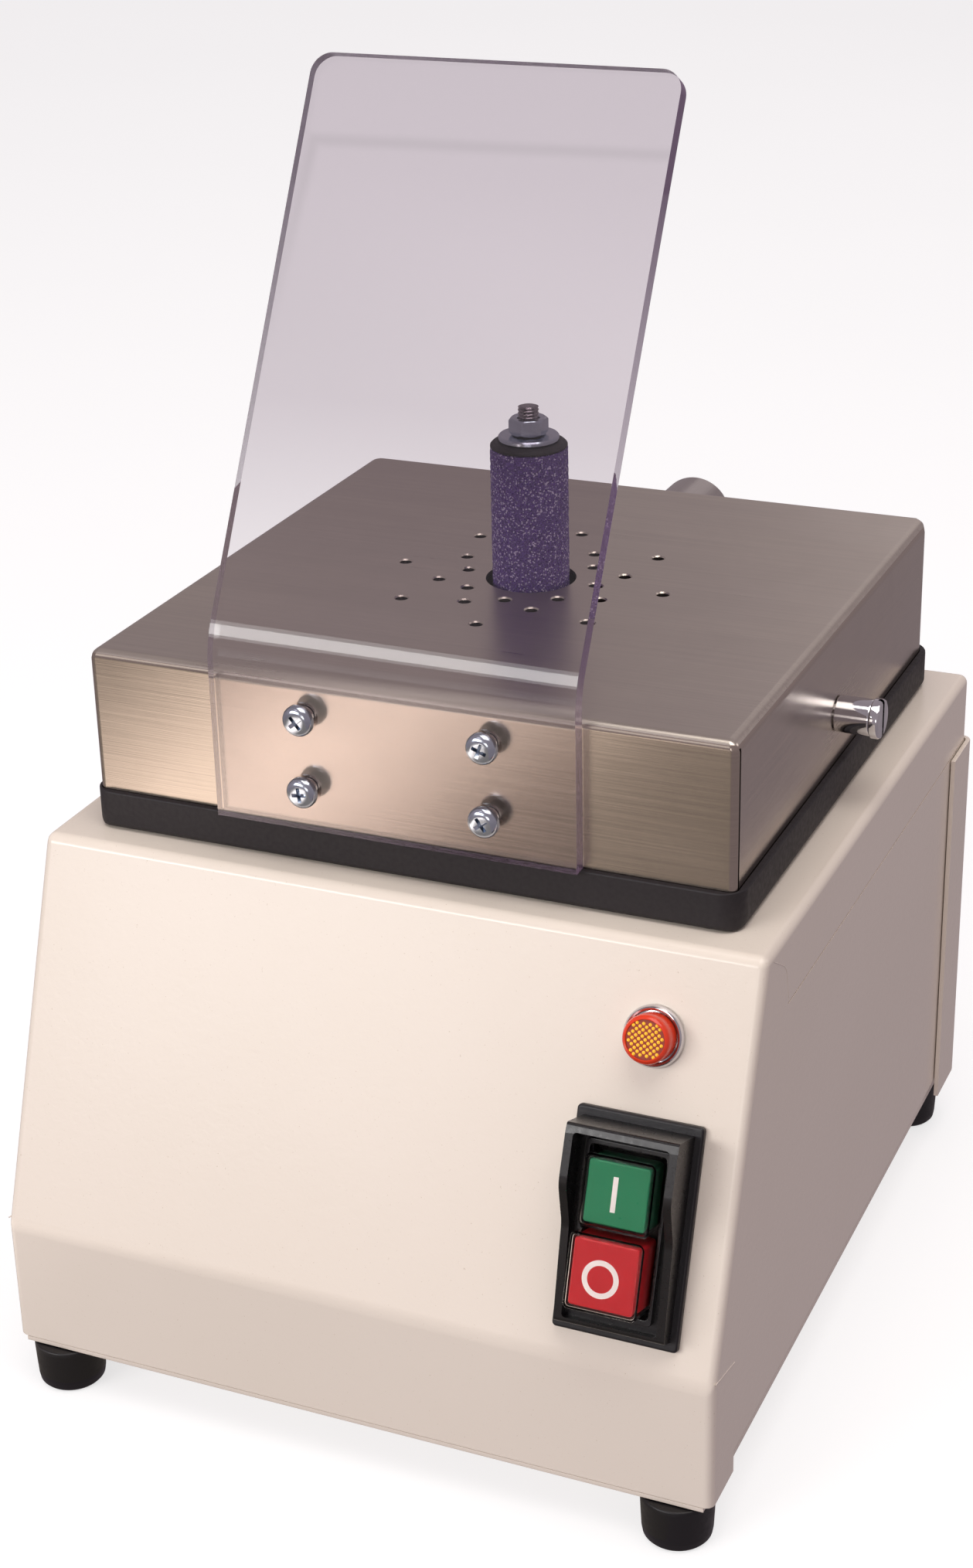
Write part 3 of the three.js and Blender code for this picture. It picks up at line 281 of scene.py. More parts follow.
# White print with a faint emission: the glow is painted light, not a lamp.
white_ink_painted_glow = plastic(
    "white_ink_painted_glow", srgb(252, 250, 252), 0.45, 900, 0.00002, Emission_Color=(1, 1, 1, 1), Emission_Strength=0.2
)
lens_rim = plastic("lamp_red", srgb(232, 66, 38), 0.16, 600, 0.00001, 0.04)
# The lamp's small points: the pale amber is a painted highlight and the faint emission a painted glow; the
# lamp is not lit.
lens_points_painted_glint_and_glow = plastic(
    "lamp_amber_painted_glint_and_glow", srgb(255, 206, 70), 0.12, 600, 0.00001, 0.04, Emission_Color=srgb(255, 190, 60),
    Emission_Strength=0.25
)
lens_field = plastic("lamp_orange", srgb(150, 44, 10), 0.3, 600, 0.00001, 0.04)
capacitor_grey = plastic("grey_plastic", srgb(206, 206, 200), 0.45)
clear_sheet = make_shield_sheet()
clear_edge = make_shield_edge()
boot_clear = make_boot_clear()
# Near-black for the walls of the holes round the spindle: painted shade in place of the steel.
hole_walls_painted_shade = plastic("hole_wall_painted_shade", srgb(58, 52, 50), 0.4, 900, 0.00003)
grit = make_grit()


# ---- Mesh helpers
def placed(name, data):
    """Adds mesh, curve, light or camera data to the scene as an object."""
    obj = bpy.data.objects.new(name, data)
    bpy.context.scene.collection.objects.link(obj)
    return obj


def as_mesh(name, bm):
    """Turns a bmesh into mesh data."""
    mesh = bpy.data.meshes.new(name)
    bm.to_mesh(mesh)
    bm.free()
    return mesh


def finish_mesh(
    bm, name, body, materials, smooth=35, matrix=None, replaces=(), slot=None, bevel=None, weighted=True
):
    """Turns a bmesh drawn in millimetres into a smooth-shaded object that rides on a body."""
    obj = raw_object(bm, matrix, name)
    for item in materials if isinstance(materials, list) else [materials]:
        obj.data.materials.append(item)
    if bevel:
        width, segments, angle = bevel
        modifier = obj.modifiers.new("edges", "BEVEL")
        modifier.width, modifier.segments = width / 1000, segments
        modifier.limit_method, modifier.angle_limit = "ANGLE", radians(angle)
    apply_modifiers(obj)
    shade(obj, smooth)
    if weighted:
        obj.modifiers.new("normals", "WEIGHTED_NORMAL").keep_sharp = True
    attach(obj, body)
    if replaces:
        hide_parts(*replaces)
    return obj


def apply_modifiers(obj):
    bpy.context.view_layer.update()
    depsgraph = bpy.context.evaluated_depsgraph_get()
    mesh = bpy.data.meshes.new_from_object(obj.evaluated_get(depsgraph))
    obj.modifiers.clear()
    obj.data = mesh


def shade(obj, angle):
    """Smooth faces, with edges sharper than angle kept crisp."""
    bm = bmesh.new()
    bm.from_mesh(obj.data)
    limit = radians(angle)
    for face in bm.faces:
        face.smooth = True
    for edge in bm.edges:
        edge.smooth = len(edge.link_faces) == 2 and edge.calc_face_angle(0) < limit
    bm.to_mesh(obj.data)
    bm.free()


def cut_away(obj, *cutters):
    """Subtracts the cutters from obj and removes them."""
    for cutter in cutters:
        modifier = obj.modifiers.new("cut", "BOOLEAN")
        modifier.operation, modifier.solver, modifier.object = "DIFFERENCE", "EXACT", cutter
    apply_modifiers(obj)
    if not obj.data.polygons:
        raise RuntimeError("a cut left nothing")
    for cutter in cutters:
        bpy.data.objects.remove(cutter)


def drawn(obj):
    """Takes an object's mesh back into the drawing's millimetres and removes the object."""
    bm = bmesh.new()
    bm.from_mesh(obj.data)
    bmesh.ops.transform(bm, matrix=TO_ROW.inverted(), verts=bm.verts)
    bpy.data.objects.remove(obj)
    return bm


def carved(name, body, blank, materials, *tools, **options):
    """Cuts the tools from the blank and finishes what is left."""
    cut_away(blank, *tools)
    return finish_mesh(drawn(blank), name, body, materials, **options)


def raw_object(bm, matrix=None, name="tool"):
    """A plain object from a bmesh drawn in millimetres."""
    bmesh.ops.transform(bm, matrix=TO_ROW @ (matrix or Matrix()), verts=bm.verts)
    bmesh.ops.recalc_face_normals(bm, faces=bm.faces)
    return placed(name, as_mesh(name, bm))


def box_mesh(x0, x1, y0, y1, z0, z1):
    bm = bmesh.new()
    size = Matrix.Diagonal((x1 - x0, y1 - y0, z1 - z0, 1))
    middle = Matrix.Translation(((x0 + x1) / 2, (y0 + y1) / 2, (z0 + z1) / 2))
    bmesh.ops.create_cube(bm, size=1, matrix=middle @ size)
    return bm


def block(*sides):
    """A box as a plain object, from its low and high X, Y and Z."""
    return raw_object(box_mesh(*sides))


def lathe_mesh(profile, segments):
    """Revolves (radius, z) points about Z; radius 0 closes on the axis."""
    bm = bmesh.new()
    rings = []
    for radius, z in profile:
        if radius < 1e-6:
            rings.append([bm.verts.new((0, 0, z))])
        else:
            angles = [2 * pi * i / segments for i in range(segments)]
            rings.append([bm.verts.new((radius * cos(a), radius * sin(a), z)) for a in angles])
    for low, high in zip(rings, rings[1:]):
        for i in range(segments):
            j = (i + 1) % segments
            corners = [low[i % len(low)], low[j % len(low)], high[j % len(high)], high[i % len(high)]]
            unique = list(dict.fromkeys(corners))
            if len(unique) > 2:
                bm.faces.new(unique)
    return bm


def rounded(points, radius, steps, closed=False):
    """Rounds the inner corners of a 2D polyline."""
    out = []
    count = len(points)
    for i, point in enumerate(points):
        p = Vector(point[:2])
        r = point[2] if len(point) > 2 else radius
        if (not closed and i in (0, count - 1)) or r <= 0:
            out.append(tuple(p))
            continue
        a = Vector(points[i - 1][:2]) - p
        b = Vector(points[(i + 1) % count][:2]) - p
        half = a.angle(b) / 2
        if half > pi / 2 - 0.02 or a.length < 1e-6 or b.length < 1e-6:
            out.append(tuple(p))
            continue
        reach = min(r / tan(half), 0.49 * a.length, 0.49 * b.length)
        r = reach * tan(half)
        a.normalize()
        b.normalize()
        centre = p + (a + b).normalized() * (r / sin(half))
        start, end = p + a * reach - centre, p + b * reach - centre
        sweep = start.angle_signed(end) if start.length > 0 else 0
        for k in range(steps + 1):
            turn = -sweep * k / steps
            x = start.x * cos(turn) - start.y * sin(turn)
            y = start.x * sin(turn) + start.y * cos(turn)
            out.append((centre.x + x, centre.y + y))
    return out


def loft(low_points, high_points):
    """Joins two closed outlines, with a face on each."""
    bm = bmesh.new()
    low = [bm.verts.new(point) for point in low_points]
    high = [bm.verts.new(point) for point in high_points]
    bm.faces.new(low[::-1])
    bm.faces.new(high)
    for i in range(len(low)):
        j = (i + 1) % len(low)
        bm.faces.new((low[i], low[j], high[j], high[i]))
    return bm


def prism_mesh(outline, z0, z1):
    """Extrudes a closed 2D outline from z0 to z1."""
    return loft([(x, y, z0) for x, y in outline], [(x, y, z1) for x, y in outline])


def rod(radius, z0, z1, segments, matrix):
    """A cylinder as a plain object."""
    return raw_object(lathe_mesh([(0, z0), (radius, z0), (radius, z1), (0, z1)], segments), matrix)


ALONG_X = Matrix.Rotation(pi / 2, 4, "Y")
ALONG_Y = Matrix.Rotation(-pi / 2, 4, "X")
SIDE = Matrix(((0, 0, 1, 0), (1, 0, 0, 0), (0, 1, 0, 0), (0, 0, 0, 1)))  # drawn (y, z), extruded along X


def at(x, y, z):
    return Matrix.Translation((x, y, z))


# ---- Housing
shell_lo, shell_hi = cad("housing_shell")
HALF, DEPTH, TOP = (shell_hi.x - shell_lo.x) / 2, shell_hi.y, shell_hi.z
KNEE, SETBACK = 38.3, 38.7
SLOPE = math.atan2(SETBACK, TOP - KNEE)
SHEET = 1.5
BEND = 2.6
SEAM = TOP - 21.8
wrap_lo, wrap_hi = cad("rear_cover")


def build_shell():
    """The painted case: folded sheet, open below and behind, with a hole for the spindle."""
    profile = [(0, 0), (DEPTH, 0), (DEPTH, TOP), (SETBACK, TOP), (0, KNEE)]
    bm = prism_mesh(profile, -HALF, HALF)
    bmesh.ops.transform(bm, matrix=SIDE, verts=bm.verts)
    edges = [e for e in bm.edges if any(v.co.z > 1 for v in e.verts)]
    bmesh.ops.bevel(bm, geom=edges, offset=BEND, segments=5, profile=0.5, affect="EDGES", clamp_overlap=True)
    bottom = [f for f in bm.faces if all(v.co.z < 1 for v in f.verts)]
    bmesh.ops.delete(bm, geom=bottom, context="FACES")
    shell = raw_object(bm)
    thick = shell.modifiers.new("sheet", "SOLIDIFY")
    thick.thickness, thick.offset = SHEET / 1000, -1
    apply_modifiers(shell)
    tools = [block(-150, 150, 17.5, 300, -1, 7)]
    tools.append(block(-HALF + SHEET, HALF - SHEET, DEPTH - 10, DEPTH + 10, -1, SEAM))
    for side in (-1, 1):
        x = side * HALF
        tools.append(block(x - 0.55, x + 0.55, 57, DEPTH + 2, SEAM - 0.5, SEAM))
    spindle = cad("spindle_shaft")
    middle = (spindle[0] + spindle[1]) / 2
    tools.append(rod(16, TOP - 5, TOP + 5, 48, at(middle.x, middle.y, 0)))
    return carved(
        "housing", "housing", shell, paint, *tools, smooth=40, replaces=["housing_shell"],
        slot="cream_powder_coat"
    )


shell = build_shell()


def bead(name, points, radius, material):
    """A thin raised line along the points, on the housing."""
    curve = bpy.data.curves.new(name, "CURVE")
    curve.dimensions = "3D"
    curve.bevel_depth, curve.bevel_resolution, curve.resolution_u = radius / 1000, 3, 6
    spline = curve.splines.new("NURBS")
    spline.points.add(len(points) - 1)
    for item, point in zip(spline.points, points):
        item.co = (*(TO_ROW @ Vector(point)), 1)
    spline.use_endpoint_u, spline.order_u = True, 3
    curve.materials.append(material)
    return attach(placed(name, curve), "housing")


for side, word in ((-1, "left"), (1, "right")):
    x = side * (HALF - 0.02)
    bead(f"knee_weld_{word}", [(x, 1.2, 39.6), (x, 6, 38.6), (x, 12, 37.4), (x, 17, 36.2)], 0.16, paint)
    bead(
        f"corner_weld_{word}",
        [(x, 43.4, 143), (x, 49, 139.6), (x, 54.5, 136), (x, 56, 131), (x, 57.6, 124.6)], 0.12, paint
    )


def slotted(x, half, low, high, radius):
    """A rounded rectangle's outline, centred on x and running from low to high."""
    corners = [(x - half, low), (x + half, low), (x + half, high), (x - half, high)]
    return rounded(corners, radius, 4, closed=True)


def build_rear_cover():
    """The rear sheet: it wraps round both sides, with vent slots and an opening for the mains inlet."""
    t, r = wrap_hi.y - DEPTH - 0.3, 3.4
    half = wrap_hi.x
    outer_y = DEPTH + 0.3 + t
    front = DEPTH - 20
    plan = [
        (-half, front), (-half + t, front), (-half + t, outer_y - t, r - t), (half - t, outer_y - t, r - t),
        (half - t, front), (half, front), (half, outer_y, r), (-half, outer_y, r)
    ]
    plan = rounded([p if len(p) > 2 else (*p, 0) for p in plan], 0, 5, closed=True)
    bm = prism_mesh(plan, wrap_lo.z, wrap_hi.z)
    cover = raw_object(bm)
    tools = []
    for side in (-1, 1):
        x = side * half
        tools.append(block(x - 7, x + 7, front - 2, outer_y + 2, SEAM - 0.5, TOP + 5))
    cx, _, cz = halfway(*cad("power_inlet"))
    tools.append(block(cx - 13.8, cx + 13.8, outer_y - 5, outer_y + 5, cz - 10.3, cz + 10.3))
    for i in range(13):
        x = -20 + 8 * i
        vent = slotted(x, 1.5, 34, 92, 1.45)
        tools.append(raw_object(
            prism_mesh(vent, -outer_y - 5, -outer_y + 5), Matrix.Rotation(pi / 2, 4, "X")
        ))
    carved(
        "rear_cover_panel", "housing", cover, paint, *tools, replaces=["rear_cover"],
        slot="cream_powder_coat", bevel=(0.25, 2, 40)
    )


build_rear_cover()


def build_base():
    """The slotted bottom sheet and its upturned walls."""
    low, high = cad("base_plate")
    z1 = -0.3
    z0 = z1 - SHEET
    bm = box_mesh(low.x, high.x, low.y, high.y, z0, z1)
    base = raw_object(bm)
    tools = []
    for i in range(9):
        x = -60 + 15 * i
        tools.append(raw_object(prism_mesh(slotted(x, 2, 100, 190, 1.9), z0 - 2, z1 + 2)))
    cut_away(base, *tools)
    bm = drawn(base)
    for x0, x1, y0, y1 in (
        (low.x, low.x + SHEET, 19.5, high.y), (high.x - SHEET, high.x, 19.5, high.y),
        (low.x + SHEET, high.x - SHEET, high.y - SHEET, high.y)
    ):
        bm.from_mesh(as_mesh("wall", box_mesh(x0, x1, y0, y1, z1 - 0.1, z1 + 12)))
    finish_mesh(
        bm, "base_panel", "housing", paint, replaces=["base_plate"], slot="cream_powder_coat",
        bevel=(0.3, 2, 40)
    )


build_base()


def screw_mesh(head_radius, head_height, shank_radius, length):
    """Pan-head screw blank, head above z = 0; place_screw cuts its cross recess."""
    dome = [
        (0, -length), (shank_radius * 0.7, -length), (shank_radius, -length + 1), (shank_radius, 0),
        (head_radius * 0.94, 0), (head_radius, 0.12 * head_height), (head_radius, 0.34 * head_height)
    ]
    for k in range(1, 8):
        a = k / 8 * pi / 2
        dome.append((head_radius * (0.42 + 0.58 * cos(a)), head_height * (0.34 + 0.66 * sin(a))))
    dome += [(head_radius * 0.36, head_height), (0, head_height)]
    return lathe_mesh(dome, 40)


def cross_recess(arm, width, depth, top):
    """A tapered cross for a driver recess, as two wedges."""
    corners = ((-1, -1), (1, -1), (1, 1), (-1, 1))
    low = [(x * arm * 0.35, y * width * 0.7, top - depth) for x, y in corners]
    high = [(x * arm, y * width, top + 0.4) for x, y in corners]
    return [(loft(low, high), Matrix.Rotation(turn, 4, "Z")) for turn in (0, pi / 2)]


def place_screw(node, name, head_radius, head_height, shank, length, matrix, body, spin=0.3):
    """A zinc screw in place of a CAD node. Its head starts at the matrix's origin and rises along its Z."""
    screw = raw_object(screw_mesh(head_radius, head_height, shank, length))
    recess = cross_recess(head_radius * 0.56, head_radius * 0.13, head_height * 0.62, head_height)
    turned = Matrix.Rotation(spin, 4, "Z")
    tools = [raw_object(bm, turn @ turned) for bm, turn in recess]
    carved(name, body, screw, zinc, *tools, smooth=30, matrix=matrix, replaces=[node], slot="zinc_plate")


def foot(place):
    """A rubber foot and the screw up through it."""
    low, high = cad(f"foot_{place}")
    cx, cy, _ = halfway(low, high)
    bottom, top = low.z, high.z
    r = (high.x - low.x) / 2
    profile = [(5, bottom + 7), (5, bottom + 0.3), (5.3, bottom), (7.4, bottom), (r - 1.5, bottom + 0.35)]
    profile += [(r - 0.75, bottom + 1.2), (r - 0.45, bottom + 3), (r - 0.2, bottom + 8)]
    profile += [(r, top - 1.2), (r - 0.15, top - 0.3), (r - 0.5, top), (2.3, top)]
    finish_mesh(
        lathe_mesh(rounded(profile, 0.6, 3), 64), f"rubber_{place}", "housing", foot_rubber,
        matrix=at(cx, cy, 0), replaces=[f"foot_{place}"], slot="black_rubber"
    )
    matrix = at(cx, cy, bottom + 6.7) @ Matrix.Rotation(pi, 4, "X")
    place_screw(f"foot_screw_{place}", f"screw_{place}", 3.6, 2.6, 2, 12, matrix, "housing")


for place in ("front_left", "front_right", "rear_left", "rear_right"):
    foot(place)

for i in range(1, 5):
    low, high = cad(f"rear_screw_{i}")
    x, _, z = halfway(low, high)
    matrix = at(x, high.y - 2.4, z) @ ALONG_Y
    place_screw(f"rear_screw_{i}", f"cover_screw_{i}", 3.6, 2.4, 1.9, 9, matrix, "housing", spin=0.4 * i)

# ---- Suction table
table_lo, table_hi = cad("suction_table")
spin_lo, spin_hi = cad("spindle_shaft")
SPIN = Vector(halfway(spin_lo, spin_hi)[:2])
TABLE_TOP = table_hi.z
screw_boxes = [cad(f"shield_screw_{i}") for i in range(1, 5)]
LATCH = halfway(*cad("latch_barrel"))[1:]
PORT = halfway(*cad("exhaust_port"))[::2]


def bent_box(x0, x1, y0, y1, z0, z1, rear, front, top_front, top_side):
    """A box with rounded upright corners and rounded top bends."""
    bm = box_mesh(x0, x1, y0, y1, z0, z1)
    weight = bm.edges.layers.float.new("bevel_weight_edge")
    for edge in bm.edges:
        a, b = edge.verts[0].co, edge.verts[1].co
        middle = (a + b) / 2
        if abs(a.z - b.z) > 1:
            edge[weight] = (rear if middle.y > (y0 + y1) / 2 else front) / 10
        elif middle.z > z1 - 1:
            edge[weight] = (top_front if middle.y < y0 + 1 else top_side) / 10
    box = raw_object(bm)
    rounding = box.modifiers.new("bends", "BEVEL")
    rounding.limit_method, rounding.width, rounding.segments = "WEIGHT", 0.010, 8
    apply_modifiers(box)
    return box


def build_table():
    """The stainless table: a bent box with suction holes round the spindle, their walls in painted shade."""
    half, front, rear = table_hi.x, table_lo.y, table_hi.y
    table = bent_box(-half, half, front, rear, table_lo.z, TABLE_TOP, 7, 2.2, 2.6, 3.3)
    inner = bent_box(
        -half + SHEET, half - SHEET, front + SHEET, rear - SHEET, table_lo.z - 12, TABLE_TOP - SHEET, 5.5,
        0.8, 1.1, 1.9
    )
    cut_away(table, inner)
    hole, rim, below, above = 1.85, 2.2, TABLE_TOP - 6, TABLE_TOP + 5
    tools = [rod(13.3, below, TABLE_TOP + 6, 72, at(SPIN.x, SPIN.y, 0))]
    punch = [(0, below), (hole, below), (hole, TABLE_TOP - 0.4), (rim, TABLE_TOP), (rim, above), (0, above)]
    for radius, offset in ((20, 0), (27, 0.5), (40.5, 0)):
        for i in range(8):
            angle = (i + offset) * pi / 4
            place = (SPIN.x + radius * cos(angle), SPIN.y + radius * sin(angle), 0)
            tools.append(raw_object(lathe_mesh(punch, 24), at(*place)))
    for side in (-1, 1):
        x = side * half
        tools.append(block(
            x - 2.7, x + 2.9, front + SHEET + 0.17, front + SHEET + 0.97, 20, TABLE_TOP - 2.3
        ))
    for low, high in screw_boxes:
        x, _, z = halfway(low, high)
        tools.append(rod(2.8, -5, 5, 24, at(x, front, z) @ ALONG_Y))
    tools.append(rod(4.2, -5, 5, 32, at(half, *LATCH) @ ALONG_X))
    tools.append(rod(12.3, -6, 6, 48, at(PORT[0], rear, PORT[1]) @ ALONG_Y))
    cut_away(table, *tools)
    bm = drawn(table)
    bmesh.ops.recalc_face_normals(bm, faces=bm.faces)
    for face in bm.faces:
        face.material_index = 0 if abs(face.normal.z) > 0.6 else 1
        middle = face.calc_center_median()
        # The walls of the holes and of the spindle opening get the near-black: painted shade.
        if (middle.xy - SPIN).length < 43 and abs(face.normal.z) < 0.5 and middle.z > TABLE_TOP - 2:
            face.material_index = 2
    return finish_mesh(
        bm, "table_cover", "cover", [stainless_top, stainless_wall, hole_walls_painted_shade], smooth=38,
        replaces=["suction_table"], slot="stainless_brushed"
    )


table = build_table()


def plan_path(half, front, rear, front_radius, rear_radius):
    """The table's outline seen from above, with rounded corners."""
    corners = [
        (-half, front, front_radius), (half, front, front_radius), (half, rear, rear_radius),
        (-half, rear, rear_radius)
    ]
    return rounded(corners, 1, 8, closed=True)


def build_trim():
    """The black edging: an outer bead with rounded edges and an inner lip."""
    low, high = cad("cover_trim")
    half, front, rear = table_hi.x, table_lo.y, table_hi.y
    bottom, top = low.z, high.z
    wall = high.x - half
    section = [
        (wall, bottom + 0.2, 1.8), (wall, top, 0.5), (0.15, top + 0.1, 0.1), (0.15, top - 3, 0.05),
        (-SHEET - 0.15, top - 3, 0.05), (-SHEET - 0.15, top, 0.1), (-SHEET - wall, top, 0.5),
        (-SHEET - wall, bottom, 1.4)
    ]
    section = rounded([(x, z, r) for x, z, r in section], 0.4, 4, closed=True)
    bm = bmesh.new()
    loops = []
    for out, z in section:
        grown = max(0.0, out - 0.3)
        path = plan_path(
            half + out, front - out, rear + out, max(0.3, 2.2 + out + 1.6 * grown), max(0.3, 7 + out)
        )
        loops.append([bm.verts.new((x, y, z)) for x, y in path])
    rings = list(zip(*loops))
    for first, second in zip(rings, rings[1:] + rings[:1]):
        for k in range(len(section)):
            m = (k + 1) % len(section)
            bm.faces.new((first[k], second[k], second[m], first[m]))
    finish_mesh(bm, "edge_trim", "cover", rubber, smooth=50, replaces=["cover_trim"], slot="black_rubber")


build_trim()


def build_port():
    """The dust outlet, a flanged tube."""
    low, high = cad("exhaust_port")
    r, wall, flange = 12, 1.2, (high.x - low.x) / 2
    length = high.y - low.y
    profile = [
        (r - wall, 0), (flange - 0.3, 0), (flange, 0.3), (flange, 1.2), (flange - 0.3, 1.5), (r + 0.6, 1.5),
        (r, 2.1), (r, length - 0.4), (r - 0.4, length), (r - wall + 0.3, length), (r - wall, length - 0.3),
        (r - wall, 0)
    ]
    finish_mesh(
        lathe_mesh(profile, 72), "outlet_tube", "cover", stainless_tube,
        matrix=at(PORT[0], low.y, PORT[1]) @ ALONG_Y, replaces=["exhaust_port"], slot="stainless"
    )


build_port()

# ---- Shield
def build_shield():
    """The clear sheet in front: upright where it is bolted on, then bent back over the drum."""
    low, high = cad("clear_shield")
    middle, half = (low.x + high.x) / 2, (high.x - low.x) / 2
    thickness = 4.7
    lean = radians(29.3)
    inner = 22.0
    outer = inner + thickness
    front = low.y
    bend_z = 208.6
    tangent = outer * tan(lean / 2)
    centre = Vector((front + outer, bend_z - tangent))
    length = 164.3 - tangent
    corner = 6.0
    rows = [(Vector((front, low.z)), Vector((front + thickness, low.z)), half)]
    for k in range(0, 13):
        a = lean * k / 12
        out = Vector((-cos(a), sin(a)))
        rows.append((centre + out * outer, centre + out * inner, half))
    along = Vector((sin(lean), cos(lean)))
    out = Vector((-cos(lean), sin(lean)))
    for k in range(0, 13):
        a = k / 12 * pi / 2
        s = length - corner + corner * sin(a)
        width = half - corner + corner * cos(a)
        rows.append((centre + out * outer + along * s, centre + out * inner + along * s, width))
    bm = bmesh.new()
    strips = []
    for f, b, w in rows:
        strips.append([bm.verts.new((middle + x, p.x, p.y)) for x, p in ((-w, f), (w, f), (w, b), (-w, b))])
    edge_faces = [bm.faces.new(strips[0]), bm.faces.new(strips[-1][::-1])]
    for p, q in zip(strips, strips[1:]):
        bm.faces.new((p[0], p[1], q[1], q[0]))
        edge_faces.append(bm.faces.new((p[1], p[2], q[2], q[1])))
        bm.faces.new((p[2], p[3], q[3], q[2]))
        edge_faces.append(bm.faces.new((p[3], p[0], q[0], q[3])))
    for face in edge_faces:
        face.material_index = 1
    shield = raw_object(bm)
    shield.data.materials.append(clear_sheet)
    shield.data.materials.append(clear_edge)
    tools = []
    for lo, hi in screw_boxes:
        x, _, z = halfway(lo, hi)
        tools.append(rod(2.7, -12, 12, 32, at(x, front, z) @ ALONG_Y))
    return carved(
        "eye_shield", "cover", shield, [clear_sheet, clear_edge], *tools, smooth=30,
        replaces=["clear_shield"], slot="clear_sheet", bevel=(0.35, 2, 50)
    )


shield = build_shield()

for i, (low, high) in enumerate(screw_boxes, 1):
    x, _, z = halfway(low, high)
    matrix = at(x, low.y + 3.6, z) @ Matrix.Rotation(pi / 2, 4, "X")
    place_screw(
        f"shield_screw_{i}", f"shield_bolt_{i}", 4.45, 3.0, 2.4, 13, matrix, "cover", spin=0.2 + 0.5 * i
    )

# ---- Latch
def build_latch():
    """The latch in the table's right wall: a fixed barrel, and the head that turns its tongue."""
    low, high = cad("latch_barrel")
    knob_lo, knob_hi = cad("latch_knob")
    wall = table_hi.x + 0.3
    end = high.x + 1.9
    r = (high.z - low.z) / 2
    profile = [
        (2.8, low.x), (4, low.x), (4, wall - 0.02), (r - 0.1, wall), (r, wall + 0.15), (r, end - 0.6),
        (r - 0.15, end - 0.2), (r - 0.6, end), (2.8, end), (2.8, low.x)
    ]
    finish_mesh(
        lathe_mesh(profile, 64), "latch_body", "cover", chrome, matrix=at(0, *LATCH) @ ALONG_X,
        replaces=["latch_barrel"], slot="chrome_plate"
    )
    tip = knob_hi.x
    inner = knob_lo.x
    head = 5.8
    profile = [
        (0, inner), (2.5, inner), (2.5, end + 0.2), (3.6, end + 0.3), (3.6, tip - 3), (head - 0.5, tip - 3),
        (head, tip - 2.6), (head, tip - 0.8), (head - 0.25, tip - 0.3), (head - 0.9, tip), (0, tip)
    ]
    knob = raw_object(lathe_mesh(profile, 64), at(0, *LATCH) @ ALONG_X)
    cut_away(knob, block(tip - 1.5, tip + 1, LATCH[0] - 0.75, LATCH[0] + 0.75, LATCH[1] - 8, LATCH[1] + 8))
    bm = drawn(knob)
    tongue = box_mesh(inner, inner + 0.8, LATCH[0] - 3.4, LATCH[0] + 3.4, LATCH[1] - 11, LATCH[1] + 2)
    bm.from_mesh(as_mesh("tongue", tongue))
    finish_mesh(bm, "latch_head", "latch", chrome, smooth=30, replaces=["latch_knob"], slot="chrome_plate")


build_latch()

